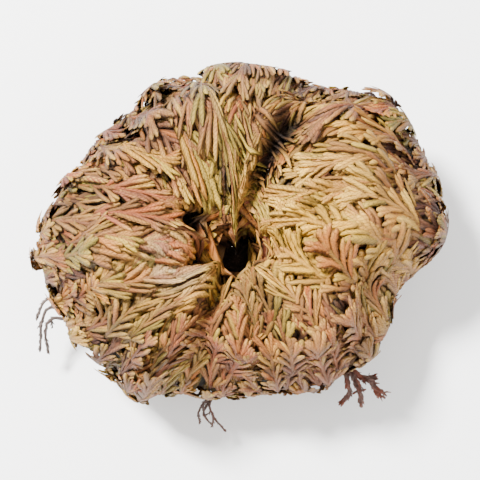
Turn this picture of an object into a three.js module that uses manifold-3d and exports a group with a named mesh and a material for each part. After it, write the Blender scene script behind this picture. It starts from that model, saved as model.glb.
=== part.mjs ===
// Rose of Jericho (Selaginella lepidophylla), dry and curled up.
//
// A short rootstock stands in the middle on its trimmed roots. Four whorls of fronds leave it one above the
// other, run outwards close to the ground, turn up round the rim and curl over into a dimple in the top, so
// that the plant is a lumpy ring. Each whorl lies inside the one before and reaches further over the top.
// Every frond is one closed solid: a tapering rib with a leaflet drawn out of each side of it at every step.
//
// Frame: +Z up, the origin in the middle of the flat spot that the plant rests on, +X to the broad side.
// Units: millimetres.
import * as THREE from "three";
import Module from "manifold-3d";
import { mergeVertices } from "three/addons/utils/BufferGeometryUtils.js";

// ---- Driving dimensions ----

// Plan of the ring: its outer radius at hand-set azimuths, in degrees from +X.
const rimRadii = [
  [0, 45.5], [28, 48.5], [46, 48], [64, 45.5], [78, 41], [94, 42], [112, 42.5], [134, 40.5], [150, 42.5],
  [168, 43], [186, 44.5], [204, 41.5], [222, 39], [238, 39], [254, 32.5], [272, 31.5], [288, 33], [304, 36],
  [320, 37], [334, 38], [344, 37.5],
];

// Section of the ring, from the rootstock out, up and over into the dimple. Each point is
// [radius in mm + share of the rim's radius, height in mm + share of the crest's height].
const sectionPoints = [
  [6.0, 0, 5.6, 0],
  [4.0, 0.22, 5.4, 0],
  [1.0, 0.6, 5.5, 0.02],
  [0, 0.89, 3.6, 0.2],
  [0, 1.0, 0, 0.5],
  [0, 0.94, 0, 0.77],
  [0, 0.76, 0, 0.96],
  [0, 0.53, 0, 1.0],
  [0.5, 0.28, 0, 0.92],
  [1.2, 0.135, 0, 0.75],
  [1.5, 0.07, 0, 0.53],
];
const crestBase = 22; // the crest's height where the ring has no width
const crestPerRim = 0.58; // how much the crest rises with the rim's radius
const nominalRim = 41; // the rim's radius at which distances along the section are measured

// Hollows that part the ring into lobes: azimuth in degrees, half-width in degrees, depth in mm.
const creases = [
  [73, 10, 4.2], [128, 11, 2.6], [158, 10, 1.6], [197, 12, 2.4], [249, 10, 3.2], [293, 10, 1.8], [338, 12, 3.4],
];

// Low swells of the surface, and the fronds' lean to one side on their way to the dimple. Each wave is
// [size in mm or radians, waves round the plant, waves along the section, phase].
const swells = [[0.7, 9, 14, 0], [0.5, 5, -22, 1]];
const leans = [[0.1, 0, 0, Math.PI / 2], [0.13, 2, 0, 0.6], [0.07, 5, 0, 2]];

// The whorls, from the outer one in: turn is the first frond's azimuth in degrees, leafyFrom, forkedFrom and
// tip are shares of the section's length, pitch is the step between leaflets and leaflet their length, in mm.
const whorls = [
  {
    name: "outer_frond", count: 13, turn: 4, leafyFrom: 0.17, forkedFrom: 0.36, tip: 0.55,
    pitch: 4.8, leaflet: 15.5, color: 0x8f7558,
  },
  {
    name: "middle_frond", count: 13, turn: 18, leafyFrom: 0.29, forkedFrom: 0.5, tip: 0.72,
    pitch: 4.8, leaflet: 15.5, color: 0xb3936a,
  },
  {
    name: "inner_frond", count: 12, turn: 9, leafyFrom: 0.52, forkedFrom: 0.66, tip: 0.89,
    pitch: 4.1, leaflet: 12, color: 0xc7a26b,
  },
  {
    name: "heart_frond", count: 12, turn: 24, leafyFrom: 0.69, forkedFrom: 0.82, tip: 0.995,
    pitch: 3.6, leaflet: 8, color: 0xa97f52,
  },
];
const longReach = { azimuth: 108, halfWidth: 0.2, more: [0.05, 0.07, 0.01, 0] }; // where fronds reach further
const whorlGap = 2.9; // from one whorl's middle surface to the next
const rise = [0.025, 0.12]; // shares of the section past a whorl's tips between which the next one comes up
const bareStep = 7.5; // between sections of the rib where it has no leaflets
const ribWidth = [1.7, 1.1]; // at the rootstock, at the tip
const ribThickness = 1.15;
const ribSway = 0.16; // how far a rib snakes to the side, as a share of the room beside it
const shortened = 0.035; // share of the section by which a frond may end early
const sectorWander = 0.26; // how much the borders between a whorl's fronds stray, as a share of their step
const sideGap = 0.4; // half the free space between neighbouring fronds of a whorl

// Leaflets: sizes in mm, the rest as shares of a leaflet's length or half-width.
const leafletThickness = [1.0, 0.7]; // at its shoulders, at its tip
const leafletSpread = [0.26, 0.6]; // how far one reaches to the side: the least, the most
const widestShare = 0.42; // where along the section a frond is widest
const leafletFill = 0.76; // share of the room between two leaflets' lines that one fills
const leafletSlant = 0.3; // how far its front side is drawn back, as a share of a cut square to its lines
const leafletLengths = [0.86, 1.14]; // shortest and longest, beside the whorl's own length
const leastLeaflet = 2.4; // none is shorter
const youngLength = 0.75; // length of the first ones, where a frond turns leafy
const shoulderAt = 0.5;
const bluntTips = [[1, -0.6], [0.98, 0.6]]; // ends as [along, across]
const forkTips = [[0.93, -0.85], [1, 0.8]];
const notchAt = 0.7;
const lifts = [0.05, 0.3]; // how high its shoulders and tip lie over the rib's middle
const crowdedStep = 1.1; // where leaflets come closer than this, every other one is left out
const terminalLeaflet = 6;

// Rootstock: radius and height of its profile, from the flat foot to the domed top.
const rootstockProfile = [
  [0, 0], [8.5, 0], [9.1, 1.1], [7.6, 1.9], [5.7, 2.6],
  [5.65, 7], [5.8, 11], [5.9, 15.2], [4.2, 16.6], [0, 17.1],
];
const rootstockSides = 14;
const roots = { count: 13, inner: 6, outer: [11.5, 17], height: 1.55, width: 1.5, tipWidth: 0.9 };

// Thin dead stems below the outer fronds, which stick out past the rim: azimuth in degrees, reach past the rim
// in mm, droop of the end in mm.
const deadStems = [
  [203, 7.5, 5], [262, 7, 3], [318, 8, 4], [97, 3.5, 1],
];
const deadStemDepth = -2.15; // below the outer fronds' middle surface
const deadStemUnder = [0.003, 0.09, 0.17, 0.25, 0.31]; // shares of the section at which one lies under the ring
const deadStemWidth = [1.1, 0.75];
const deadFork = { width: [0.85, 0.7], spread: [1.6, 2.3], reach: [0.35, 0.7] }; // reach is a share

// ---- The ring's surface ----

const turnOf = (degrees) => (degrees * Math.PI) / 180;
const fullTurn = 2 * Math.PI;

// The same number between 0 and 1 for the same pair of seeds.
function draw(index, salt) {
  const x = Math.sin(index * 12.9898 + salt * 78.233) * 43758.5453;
  return x - Math.floor(x);
}

function smooth(low, high, x) {
  const t = Math.min(1, Math.max(0, (x - low) / (high - low)));
  return t * t * (3 - 2 * t);
}

function hermite(a, b, c, d, t) {
  const t2 = t * t;
  const t3 = t2 * t;
  return 0.5 * (2 * b + (c - a) * t + (2 * a - 5 * b + 4 * c - d) * t2 + (3 * b - a - 3 * c + d) * t3);
}

// Smooth closed curve through the rim's radii.
function rimRadius(azimuth) {
  const degrees = ((((azimuth * 180) / Math.PI) % 360) + 360) % 360;
  const n = rimRadii.length;
  let i = n - 1;
  while (rimRadii[i][0] > degrees) i -= 1;
  const [from, b] = rimRadii[i];
  const [next, c] = rimRadii[(i + 1) % n];
  const span = (next - from + 360) % 360;
  return hermite(rimRadii[(i + n - 1) % n][1], b, c, rimRadii[(i + 2) % n][1], (degrees - from) / span);
}

// Radius and height on the section of a ring with this rim, at q from 0 to the number of its spans.
function sectionPoint(q, rim) {
  const last = sectionPoints.length - 1;
  const i = Math.min(last - 1, Math.max(0, Math.floor(q)));
  const crest = crestBase + crestPerRim * rim;
  const at = (j) => {
    const [r, rShare, z, zShare] = sectionPoints[j];
    return [r + rShare * rim, z + zShare * crest];
  };
  const b = at(i);
  const c = at(i + 1);
  const a = i > 0 ? at(i - 1) : [2 * b[0] - c[0], 2 * b[1] - c[1]];
  const d = i < last - 1 ? at(i + 2) : [2 * c[0] - b[0], 2 * c[1] - b[1]];
  return [0, 1].map((k) => hermite(a[k], b[k], c[k], d[k], q - i));
}

// Distance along the nominal section, and the way back from a share of it to q.
const sectionSteps = 400;
const sectionQ = [0];
const sectionAt = [0];
for (let i = 1; i <= sectionSteps; i += 1) {
  const q = (i / sectionSteps) * (sectionPoints.length - 1);
  const [r0, z0] = sectionPoint(sectionQ[i - 1], nominalRim);
  const [r1, z1] = sectionPoint(q, nominalRim);
  sectionQ.push(q);
  sectionAt.push(sectionAt[i - 1] + Math.hypot(r1 - r0, z1 - z0));
}
const sectionLength = sectionAt[sectionSteps];

function qOf(share) {
  const s = Math.min(1, Math.max(0, share)) * sectionLength;
  let i = 1;
  while (i < sectionSteps && sectionAt[i] < s) i += 1;
  const t = (s - sectionAt[i - 1]) / (sectionAt[i] - sectionAt[i - 1]);
  return sectionQ[i - 1] + t * (sectionQ[i] - sectionQ[i - 1]);
}

const wavesAt = (waves, share, azimuth) => waves.reduce(
  (sum, [size, round, along, phase]) => sum + size * Math.sin(round * azimuth + along * share + phase),
  0,
);

// How far the surface sinks in the creases and swells between them.
function sink(share, azimuth) {
  let depth = 0;
  for (const [at, halfWidth, deep] of creases) {
    const away = Math.atan2(Math.sin(azimuth - turnOf(at)), Math.cos(azimuth - turnOf(at)));
    depth += deep * Math.exp(-((away / turnOf(halfWidth)) ** 2));
  }
  const above = smooth(0.3, 0.5, share) * (1 - 0.6 * smooth(0.9, 1, share));
  return above * (depth - wavesAt(swells, share, azimuth));
}

function lean(share, azimuth) {
  return smooth(0.35, 1, share) * wavesAt(leans, share, azimuth);
}

// A point of the plant: share of the section's length from the rootstock, azimuth, depth below the outside.
function bodyPoint(share, azimuth, depth) {
  const rim = rimRadius(azimuth);
  const q = qOf(share);
  const step = 0.02;
  const [r, z] = sectionPoint(q, rim);
  const [r0, z0] = sectionPoint(q - step, rim);
  const [r1, z1] = sectionPoint(q + step, rim);
  const long = Math.hypot(r1 - r0, z1 - z0);
  const below = depth + sink(share, azimuth);
  const radius = r - (below * (z1 - z0)) / long;
  const height = z + (below * (r1 - r0)) / long;
  const turned = azimuth + lean(share, azimuth);
  return [radius * Math.cos(turned), radius * Math.sin(turned), height];
}

// ---- Whorls ----

// Share of the section at which a whorl's tips lie, by azimuth.
function tipShare(level, azimuth) {
  const wander = wavesAt([[0.02, 2, 0, 1 + 2 * level], [0.014, 5, 0, 3 * level]], 0, azimuth);
  const near = Math.exp(-((Math.sin((azimuth - turnOf(longReach.azimuth)) / 2) / longReach.halfWidth) ** 2));
  const innermost = level === whorls.length - 1;
  return whorls[level].tip + longReach.more[level] * near + (innermost ? 0 : wander);
}

// The furthest that any frond of a whorl reaches near an azimuth.
function reachShare(level, azimuth) {
  const halfSector = ((1 + sectorWander) * Math.PI) / whorls[level].count;
  return Math.max(...[-1, -0.5, 0, 0.5, 1].map((k) => tipShare(level, azimuth + k * halfSector)));
}

// A whorl lies one gap deeper for each whorl outside it, and comes up where that one has ended.
function whorlDepth(level, share, azimuth) {
  let depth = 0;
  for (let outer = 0; outer < level; outer += 1) {
    const end = reachShare(outer, azimuth);
    depth += whorlGap * (1 - smooth(end + rise[0], end + rise[1], share));
  }
  return depth;
}

// The azimuth where a whorl's frond begins, which is where the one before it ends.
function border(level, number) {
  const row = whorls[level];
  const stray = sectorWander * (draw(number % row.count, 20 + level) - 0.5);
  return turnOf(row.turn) + ((number - 0.5 + stray) * fullTurn) / row.count;
}

// ---- Mesh building ----

class Skin {
  constructor() {
    this.points = [];
    this.faces = [];
  }
  add(point) {
    this.points.push(point);
    return this.points.length - 1;
  }
  face(a, b, c, d) {
    if (a !== b && b !== c && c !== a) this.faces.push([a, b, c]);
    if (d !== undefined && a !== c && c !== d && d !== a) this.faces.push([a, c, d]);
  }
  volume() {
    const p = this.points;
    return this.faces.reduce((sum, [a, b, c]) => {
      const [x, y, z] = [p[a], p[b], p[c]];
      return sum + (x[0] * (y[1] * z[2] - y[2] * z[1]) + x[1] * (y[2] * z[0] - y[0] * z[2])
        + x[2] * (y[0] * z[1] - y[1] * z[0])) / 6;
    }, 0);
  }
  geometry() {
    const outward = this.volume() > 0;
    const index = this.faces.flatMap(([a, b, c]) => (outward ? [a, b, c] : [a, c, b]));
    return new THREE.BufferGeometry()
      .setAttribute("position", new THREE.Float32BufferAttribute(this.points.flat(), 3))
      .setIndex(index);
  }
}

const mirrored = (corners) => (
  corners.length === 4 ? [corners[1], corners[0], corners[3], corners[2]] : [...corners].reverse()
);

// One frond as a closed skin. Its own coordinates are the share along the section, the distance to the side and
// the height over the whorl's middle surface in mm. Positive sides are anticlockwise seen from above.
function frondGeometry(level, number) {
  const row = whorls[level];
  const seed = 100 * level + number;
  const [from, to] = [border(level, number), border(level, number + 1)];
  const sector = to - from;
  const azimuth = (from + to) / 2;
  const { lerp } = THREE.MathUtils;

  const halfWidthAt = (share) => {
    const [x, y] = bodyPoint(share, azimuth, whorlDepth(level, share, azimuth));
    return (Math.hypot(x, y) * sector) / 2;
  };
  const place = (share, side, height) => {
    const turned = azimuth + ((side / halfWidthAt(share)) * sector) / 2;
    return bodyPoint(share, turned, whorlDepth(level, share, turned) - height);
  };

  // The rib: its half-width, and how far its middle lies to the side as it snakes.
  const end = tipShare(level, azimuth) - shortened * draw(seed, 2);
  const ribHalf = (share) => lerp(...ribWidth, share / end) / 2;
  const ribMiddle = (share) => ribSway * Math.sin(7 * share + fullTurn * draw(seed, 1))
    * smooth(0.1, 0.4, share) * (halfWidthAt(share) - ribHalf(share) - sideGap);

  // Sections of the rib: far apart on the bare stem, one leaflet's pitch apart on the leafy part.
  const leafyEnd = end - terminalLeaflet / sectionLength;
  const pitch = row.pitch / sectionLength;
  const leaflets = Math.floor((leafyEnd - row.leafyFrom) / pitch);
  const leafyStart = leafyEnd - leaflets * pitch;
  const bare = Math.round((leafyStart * sectionLength) / bareStep);
  const stations = [];
  for (let i = 0; i < bare; i += 1) stations.push((leafyStart * i) / bare);
  for (let i = 0; i <= leaflets; i += 1) stations.push(leafyStart + i * pitch);

  const skin = new Skin();
  const rings = stations.map((share) => {
    const [half, middle] = [ribHalf(share), ribMiddle(share)];
    const corner = (side, height) => skin.add(place(share, middle + side * half, height));
    const h = ribThickness / 2;
    return { share, middle, half, lt: corner(1, h), lb: corner(1, -h), rb: corner(-1, -h), rt: corner(-1, h) };
  });

  // The rib's top and underside, its seat at the rootstock, and its terminal leaflet.
  for (let i = 0; i + 1 < rings.length; i += 1) {
    const [a, b] = [rings[i], rings[i + 1]];
    skin.face(a.lt, a.rt, b.rt, b.lt);
    skin.face(a.lb, b.lb, b.rb, a.rb);
  }
  const first = rings[0];
  skin.face(first.lt, first.lb, first.rb, first.rt);
  const last = rings[rings.length - 1];
  const top = skin.add(place(end, last.middle, leafletThickness[1] / 2));
  const bottom = skin.add(place(end, last.middle, -leafletThickness[1] / 2));
  skin.face(last.lt, last.rt, top);
  skin.face(last.rb, last.lb, bottom);
  skin.face(last.rt, last.rb, bottom, top);
  skin.face(last.lb, last.lt, top, bottom);

  // The sides: a plain wall where there is no leaflet, otherwise a leaflet.
  for (const side of [1, -1]) {
    const lines = rings.map((ring) => lineFrom(ring, side));
    const tight = lines.findIndex((line, i) => i >= bare && row.pitch * line.outward < crowdedStep);
    const crowdedFrom = tight < 0 ? lines.length : tight;
    for (let i = 0; i + 1 < rings.length; i += 1) {
      const [a, b] = [rings[i], rings[i + 1]];
      // The wall's corners: back top, back bottom, front bottom, front top. A face on the left is turned round
      // but keeps its first edge, so that both sides of a frond split alike.
      const wall = side < 0 ? [a.rt, a.rb, b.rb, b.rt] : [a.lt, a.lb, b.lb, b.lt];
      const face = (...corners) => skin.face(...(side < 0 ? corners : mirrored(corners)));
      const crowded = i >= crowdedFrom;
      const skipped = i < bare || (crowded && (i - crowdedFrom) % 2 === 1);
      const next = Math.min(i + (crowded ? 2 : 1), lines.length - 1);
      const shape = skipped ? null : leafletShape(lines[i], lines[next], crowded, 10 * i + side);
      if (shape) growLeaflet(wall, shape, side, face);
      else face(...wall);
    }
  }

  // The line along which the leaflets at a section of the rib point, forwards and outwards, less far to the
  // side where the frond narrows. A side's lines don't meet, and each leaflet keeps between two of them.
  function lineFrom({ share, middle, half }, side) {
    const ahead = Math.min(end, Math.max(widestShare, share + row.leaflet / sectionLength));
    const room = halfWidthAt(ahead) - side * ribMiddle(ahead) - ribHalf(ahead) - sideGap;
    const outward = THREE.MathUtils.clamp(room / row.leaflet, ...leafletSpread);
    const forward = Math.sqrt(1 - outward ** 2);
    return { along: share * sectionLength, aside: side * middle + half, forward, outward };
  }

  // Where a leaflet's shoulders and tips lie, as [mm along the section, mm to its side]. It is cut short at the
  // next frond and at the frond's own end.
  function leafletShape(back, front, crowded, salt) {
    const root = (back.along + front.along) / 2 / sectionLength;
    const grown = lerp(youngLength, 1, smooth(row.leafyFrom - 0.02, row.leafyFrom + 0.1, root));
    const forked = !crowded && root > row.forkedFrom;
    const slant = leafletSlant * (front.along - back.along) * back.forward;
    const outline = [[shoulderAt, -1], [shoulderAt, 1], [notchAt, 0], ...(forked ? forkTips : bluntTips)];
    const cornersAt = (length) => outline.map(([share, across]) => {
      const part = (1 + across * leafletFill) / 2;
      const run = share * length + slant * (0.5 - part);
      return [
        lerp(back.along + run * back.forward, front.along + run * front.forward, part),
        lerp(back.aside + run * back.outward, front.aside + run * front.outward, part),
      ];
    });
    const fits = ([along, aside]) => (
      along <= end * sectionLength && aside <= halfWidthAt(along / sectionLength) - sideGap
    );
    let length = row.leaflet * grown * lerp(...leafletLengths, draw(seed, 3 + salt));
    while (length > leastLeaflet && !cornersAt(length).every(fits)) length *= 0.95;
    if (length <= leastLeaflet) return null;
    const lift = lerp(...lifts, draw(seed, 40 + salt));
    return {
      forked,
      lift,
      corners: cornersAt(length),
      tipLifts: forked ? [lift + 0.25 * draw(seed, 70 + salt), lift - 0.15] : [lift, lift],
    };
  }

  function growLeaflet([backTop, backBottom, frontBottom, frontTop], shape, side, face) {
    const pair = ([along, aside], lift, thickness) => [1, -1].map((way) => (
      skin.add(place(along / sectionLength, side * aside, lift + (way * thickness) / 2))
    ));
    const [back, front, notch, ...tips] = shape.corners;
    const [bt, bb] = pair(back, shape.lift, leafletThickness[0]);
    const [ft, fb] = pair(front, shape.lift, leafletThickness[0]);
    const [[t0, b0], [t1, b1]] = tips.map((tip, k) => pair(tip, shape.tipLifts[k], leafletThickness[1]));
    face(backTop, backBottom, bb, bt);
    face(frontBottom, frontTop, ft, fb);
    face(bt, bb, b0, t0);
    face(fb, ft, t1, b1);
    if (!shape.forked) {
      face(frontTop, backTop, bt, ft);
      face(frontBottom, fb, bb, backBottom);
      face(ft, bt, t0, t1);
      face(fb, b1, b0, bb);
      face(t0, b0, b1, t1);
      return;
    }
    const [nt, nb] = pair(notch, shape.lift, leafletThickness[0]);
    face(frontTop, backTop, nt);
    face(backTop, bt, nt);
    face(frontTop, nt, ft);
    face(frontBottom, nb, backBottom);
    face(backBottom, nb, bb);
    face(frontBottom, fb, nb);
    face(nt, bt, t0);
    face(bb, nb, b0);
    face(nb, nt, t0, b0);
    face(ft, nt, t1);
    face(nb, fb, b1);
    face(nt, nb, b1, t1);
  }

  return skin.geometry();
}

// ---- Solids that are joined ----

const wasm = await Module();
wasm.setup();

function solidOf(geometry) {
  const bare = geometry.index ? geometry.toNonIndexed() : geometry.clone();
  bare.deleteAttribute("normal");
  bare.deleteAttribute("uv");
  const merged = mergeVertices(bare, 1e-4);
  return new wasm.Manifold(new wasm.Mesh({
    numProp: 3,
    vertProperties: merged.attributes.position.array,
    triVerts: new Uint32Array(merged.index.array),
  }));
}

function geometryOf(solid) {
  const mesh = solid.getMesh();
  return new THREE.BufferGeometry()
    .setAttribute("position", new THREE.BufferAttribute(mesh.vertProperties, 3))
    .setIndex(new THREE.BufferAttribute(mesh.triVerts, 1));
}

// A three-sided shoot along a list of points, tapering from one width to the other.
function shootGeometry(points, width, tipWidth) {
  const skin = new Skin();
  const up = new THREE.Vector3(0, 0, 1);
  const corners = [[0, 0.62], [0.55, -0.38], [-0.55, -0.38]];
  const rings = points.map((p, i) => {
    const before = points[Math.max(0, i - 1)];
    const after = points[Math.min(points.length - 1, i + 1)];
    const along = new THREE.Vector3().subVectors(after, before).normalize();
    const side = new THREE.Vector3().crossVectors(up, along).normalize();
    const top = new THREE.Vector3().crossVectors(along, side);
    const wide = THREE.MathUtils.lerp(width, tipWidth, i / (points.length - 1));
    return corners.map(([s, t]) => skin.add(
      p.clone().addScaledVector(side, s * wide).addScaledVector(top, t * wide).toArray(),
    ));
  });
  for (let i = 0; i + 1 < rings.length; i += 1) {
    for (let k = 0; k < 3; k += 1) {
      const n = (k + 1) % 3;
      skin.face(rings[i][k], rings[i][n], rings[i + 1][n], rings[i + 1][k]);
    }
  }
  skin.face(...[...rings[0]].reverse());
  skin.face(...rings[rings.length - 1]);
  return skin.geometry();
}

// The rootstock, with its trimmed roots spread over the ground and sunk well into its foot.
function rootstockGeometry() {
  const profile = rootstockProfile.map(([r, z]) => new THREE.Vector2(r, z));
  const stock = new THREE.LatheGeometry(profile, rootstockSides).rotateX(Math.PI / 2);
  let solid = solidOf(stock);
  for (let i = 0; i < roots.count; i += 1) {
    const azimuth = (fullTurn * (i + 0.5 * draw(i, 11))) / roots.count;
    const outer = THREE.MathUtils.lerp(...roots.outer, draw(i, 12));
    const bend = 0.5 * (draw(i, 13) - 0.5);
    const points = [0, 0.4, 0.75, 1].map((t) => {
      const radius = THREE.MathUtils.lerp(roots.inner, outer, t);
      const turned = azimuth + bend * t * t;
      const height = roots.height - 0.7 * t * draw(i, 14);
      return new THREE.Vector3(radius * Math.cos(turned), radius * Math.sin(turned), height);
    });
    solid = solid.add(solidOf(shootGeometry(points, roots.width, roots.tipWidth)));
  }
  return geometryOf(solid);
}

// A dead stem: out from the rootstock under the outer fronds, then free past the rim with a forked end.
function deadStemGeometry(azimuth, reach, droop) {
  const points = deadStemUnder.map((share) => new THREE.Vector3(...bodyPoint(share, azimuth, deadStemDepth)));
  const leave = points[points.length - 1];
  const outward = new THREE.Vector3(leave.x, leave.y, 0).normalize();
  const side = new THREE.Vector3().crossVectors(new THREE.Vector3(0, 0, 1), outward);
  const rise = new THREE.Vector3().subVectors(leave, points[points.length - 2]).normalize();
  const free = rimRadius(azimuth) - Math.hypot(leave.x, leave.y) + reach;
  const [elbow, tip] = [0.45, 1].map((t) => leave.clone()
    .addScaledVector(outward, free * t)
    .add(new THREE.Vector3(0, 0, 0.35 * rise.z * free * t - droop * t * t)));
  const stem = solidOf(shootGeometry([...points, elbow, tip], ...deadStemWidth));
  const forkFrom = elbow.clone().addScaledVector(outward, -0.4);
  const forks = [1, -1].map((way) => {
    const ahead = deadFork.reach.map((share, k) => forkFrom.clone()
      .addScaledVector(outward, share * reach)
      .addScaledVector(side, way * deadFork.spread[k]));
    return solidOf(shootGeometry([forkFrom, ...ahead], ...deadFork.width));
  });
  return geometryOf(forks.reduce((all, one) => all.add(one), stem));
}

// ---- The plant ----

const part = new THREE.Group();

function addPiece(name, geometry, color, roughness) {
  const mesh = new THREE.Mesh(geometry, new THREE.MeshStandardMaterial({ color, roughness, metalness: 0 }));
  mesh.name = name;
  part.add(mesh);
}

addPiece("rootstock", rootstockGeometry(), 0x4a3526, 0.95);
whorls.forEach((row, level) => {
  for (let number = 0; number < row.count; number += 1) {
    const name = `${row.name}_${String(number + 1).padStart(2, "0")}`;
    addPiece(name, frondGeometry(level, number), row.color, 0.85);
  }
});
deadStems.forEach(([degrees, reach, droop], i) => {
  addPiece(`dead_stem_${i + 1}`, deadStemGeometry(turnOf(degrees), reach, droop), 0x574a40, 0.9);
});

export default part;
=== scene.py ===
import math

import bpy
import numpy as np
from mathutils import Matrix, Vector


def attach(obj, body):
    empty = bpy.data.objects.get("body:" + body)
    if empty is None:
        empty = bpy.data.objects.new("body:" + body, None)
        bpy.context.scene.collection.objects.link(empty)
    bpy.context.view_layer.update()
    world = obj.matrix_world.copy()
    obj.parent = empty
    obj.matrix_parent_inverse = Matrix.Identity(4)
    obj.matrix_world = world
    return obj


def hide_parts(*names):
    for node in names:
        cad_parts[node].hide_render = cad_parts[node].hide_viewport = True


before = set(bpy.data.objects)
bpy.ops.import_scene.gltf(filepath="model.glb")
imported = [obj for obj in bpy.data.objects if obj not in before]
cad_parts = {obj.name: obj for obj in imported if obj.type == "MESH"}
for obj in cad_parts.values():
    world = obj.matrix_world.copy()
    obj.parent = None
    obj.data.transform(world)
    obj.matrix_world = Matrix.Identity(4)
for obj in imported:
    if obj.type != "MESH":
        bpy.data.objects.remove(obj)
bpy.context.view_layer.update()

fullTurn = 2 * math.pi
metre = 0.001            # shapes are worked out in millimetres
up = np.array([0.0, 0, 1])


# The ring that the fronds follow: its plan, its section from the rootstock out, up and over into the dimple, the
# creases between its lobes and the low waves on it. Azimuths and half-widths are in degrees, lengths in mm, and
# shares are of the section's length.
ring = {
    "rim": [(0, 45.5), (28, 48.5), (46, 48), (64, 45.5), (78, 41), (94, 42), (112, 42.5), (134, 40.5),
            (150, 42.5), (168, 43), (186, 44.5), (204, 41.5), (222, 39), (238, 39), (254, 32.5), (272, 31.5),
            (288, 33), (304, 36), (320, 37), (334, 38), (344, 37.5)],        # azimuth, outer radius
    "section": [(6.0, 0, 5.6, 0), (4.0, 0.22, 5.4, 0), (1.0, 0.6, 5.5, 0.02), (0, 0.89, 3.6, 0.2),
                (0, 1.0, 0, 0.5), (0, 0.94, 0, 0.77), (0, 0.76, 0, 0.96), (0, 0.53, 0, 1.0),
                (0.5, 0.28, 0, 0.92), (1.2, 0.135, 0, 0.75), (1.5, 0.07, 0, 0.53)],
    # each row: radius + share of the rim, height + share of the crest
    "crestBase": 22, "crestPerRim": 0.58, "nominalRim": 41, "crestMost": 47.4,
    "creases": [(60, 11, 4.2), (128, 11, 2.6), (158, 10, 1.6), (197, 12, 2.4), (249, 10, 3.2), (293, 10, 1.2),
                (338, 12, 2.8)],                                 # azimuth, half-width, depth
    "creaseStart": (0.3, 0.5), "creaseEnd": (0.9, 1), "endShallower": 0.6,
    "swells": [(0.7, 9, 14, 0), (0.5, 5, -22, 1)],               # size, waves round, waves along, phase
    "leans": [(0.1, 0, 0, math.pi / 2), (0.13, 2, 0, 0.6), (0.07, 5, 0, 2)], "leanShares": (0.35, 1),
    "whorlGap": 2.9, "rise": (-0.005, 0.08), "sectorWander": 0.26, "shortened": 0.035,
    "longReach": {"azimuth": 108, "halfWidth": 0.2, "more": (0.05, 0.07, 0.01, 0)},
    "clefts": [(59, 7, 6.5, 0.64, 0.85), (150, 14, 5.0, 0.84, 1.3), (104, 4, 3.0, 0.76, 0.86),
               (277, 44, 6.2, 0.855, 1.3), (95, 60, 0, 0.945, 1.3)],    # azimuth, half-width, depth, from, to
    "cleftEdge": 0.035, "cleftShade": 1.15,
    "wall": {"azimuth": 95, "halfWidth": 32, "height": 3.6, "shares": (0.8, 0.94)},    # the dimple's north side
    "flow": [(0, 24), (30, 32), (60, 6), (85, 0), (108, -18), (135, -15), (160, 0), (207, 0), (220, -10),
             (250, 0), (290, 0), (315, 10), (345, 18)],          # how far the sprays turn from straight inwards
    "flowWaves": [(6, 5, 9, 0.5)], "flowShares": (0.45, 0.62),
    "creaseShade": 0.04, "shadeNarrower": 0.7, "shadeShares": (0.45, 0.6),    # the shade is for each mm of depth
}

# The whorls from the outer one in. Shares of the section's length: nothing grows before bareTo, coarse sprays
# fill the part that other fronds cover, and fine ones stand from shownFrom to the tip.
whorls = [dict(zip(("name", "count", "turn", "bareTo", "shownFrom", "tip", "tipDrop", "uneven", "loose"), row))
          for row in (("outer_frond", 13, 4, 0.1, 0.16, 0.55, 2.8, 0, 1.2),
                      ("middle_frond", 13, 18, 0.24, 0.4, 0.72, 2.0, 0, 1),
                      ("inner_frond", 12, 9, 0.38, 0.58, 0.89, 0.9, 0.02, 1),
                      ("heart_frond", 12, 24, 0.5, 0.74, 0.995, 0, 0.07, 1))]


def draw(index, salt):
    # A steady chance number from 0 to 1 for each index: the fraction of a large sine.
    x = math.sin(index * 12.9898 + salt * 78.233) * 43758.5453
    return x - math.floor(x)


def smooth(low, high, x):
    # 0 up to low and 1 from high on, with a smooth S between them.
    t = np.clip((x - low) / (high - low), 0, 1)
    return t * t * (3 - 2 * t)


def mix(a, b, t):
    # a at t = 0, b at t = 1, on a straight line.
    return a + (b - a) * t


def unit(v):
    # Each vector over its own length.
    return v / np.maximum(np.linalg.norm(v, axis=-1, keepdims=True), 1e-9)


def polar(radius, azimuth, height):
    # Points at this distance from the z axis, this angle round it and this height.
    return np.stack(np.broadcast_arrays(radius * np.cos(azimuth), radius * np.sin(azimuth), height), -1)


def runAlong(points):
    # The length run along rows of points, from 0 at the first one.
    step = np.linalg.norm(np.diff(points, axis=-2), axis=-1)
    return np.concatenate([np.zeros((*step.shape[:-1], 1)), np.cumsum(step, -1)], -1)


def cubic(a, b, c, d, f):
    # Catmull-Rom: the curve runs from b to c as f goes from 0 to 1, with slopes taken from their neighbours.
    return 0.5 * (2 * b + (c - a) * f + (2 * a - 5 * b + 4 * c - d) * f ** 2 + (3 * b - a - 3 * c + d) * f ** 3)


def throughRows(rows, q):
    # One smooth curve through all the rows, as a function of the row number q.
    rows = np.asarray(rows, float)
    rows = np.vstack([2 * rows[0] - rows[1], rows, 2 * rows[-1] - rows[-2]])
    i = np.clip(np.floor(q).astype(int), 0, len(rows) - 4)
    return cubic(rows[i], rows[i + 1], rows[i + 2], rows[i + 3], (q - i)[..., None])


def countOff(each):
    # For groups of these sizes, the group that each member belongs to and its place in it.
    owner = np.repeat(np.arange(len(each)), each)
    return owner, np.arange(len(owner)) - np.repeat(np.cumsum(each) - each, each)


def rimAt(azimuth):
    # The rim's radius as one smooth closed curve of the azimuth.
    at, radius = np.array(ring["rim"], float).T
    degrees = np.degrees(azimuth) % 360
    i = np.searchsorted(at, degrees, side="right") - 1
    n = len(at)
    span = (at[(i + 1) % n] - at[i]) % 360
    return cubic(radius[i - 1], radius[i], radius[(i + 1) % n], radius[(i + 2) % n], (degrees - at[i]) / span)


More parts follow.
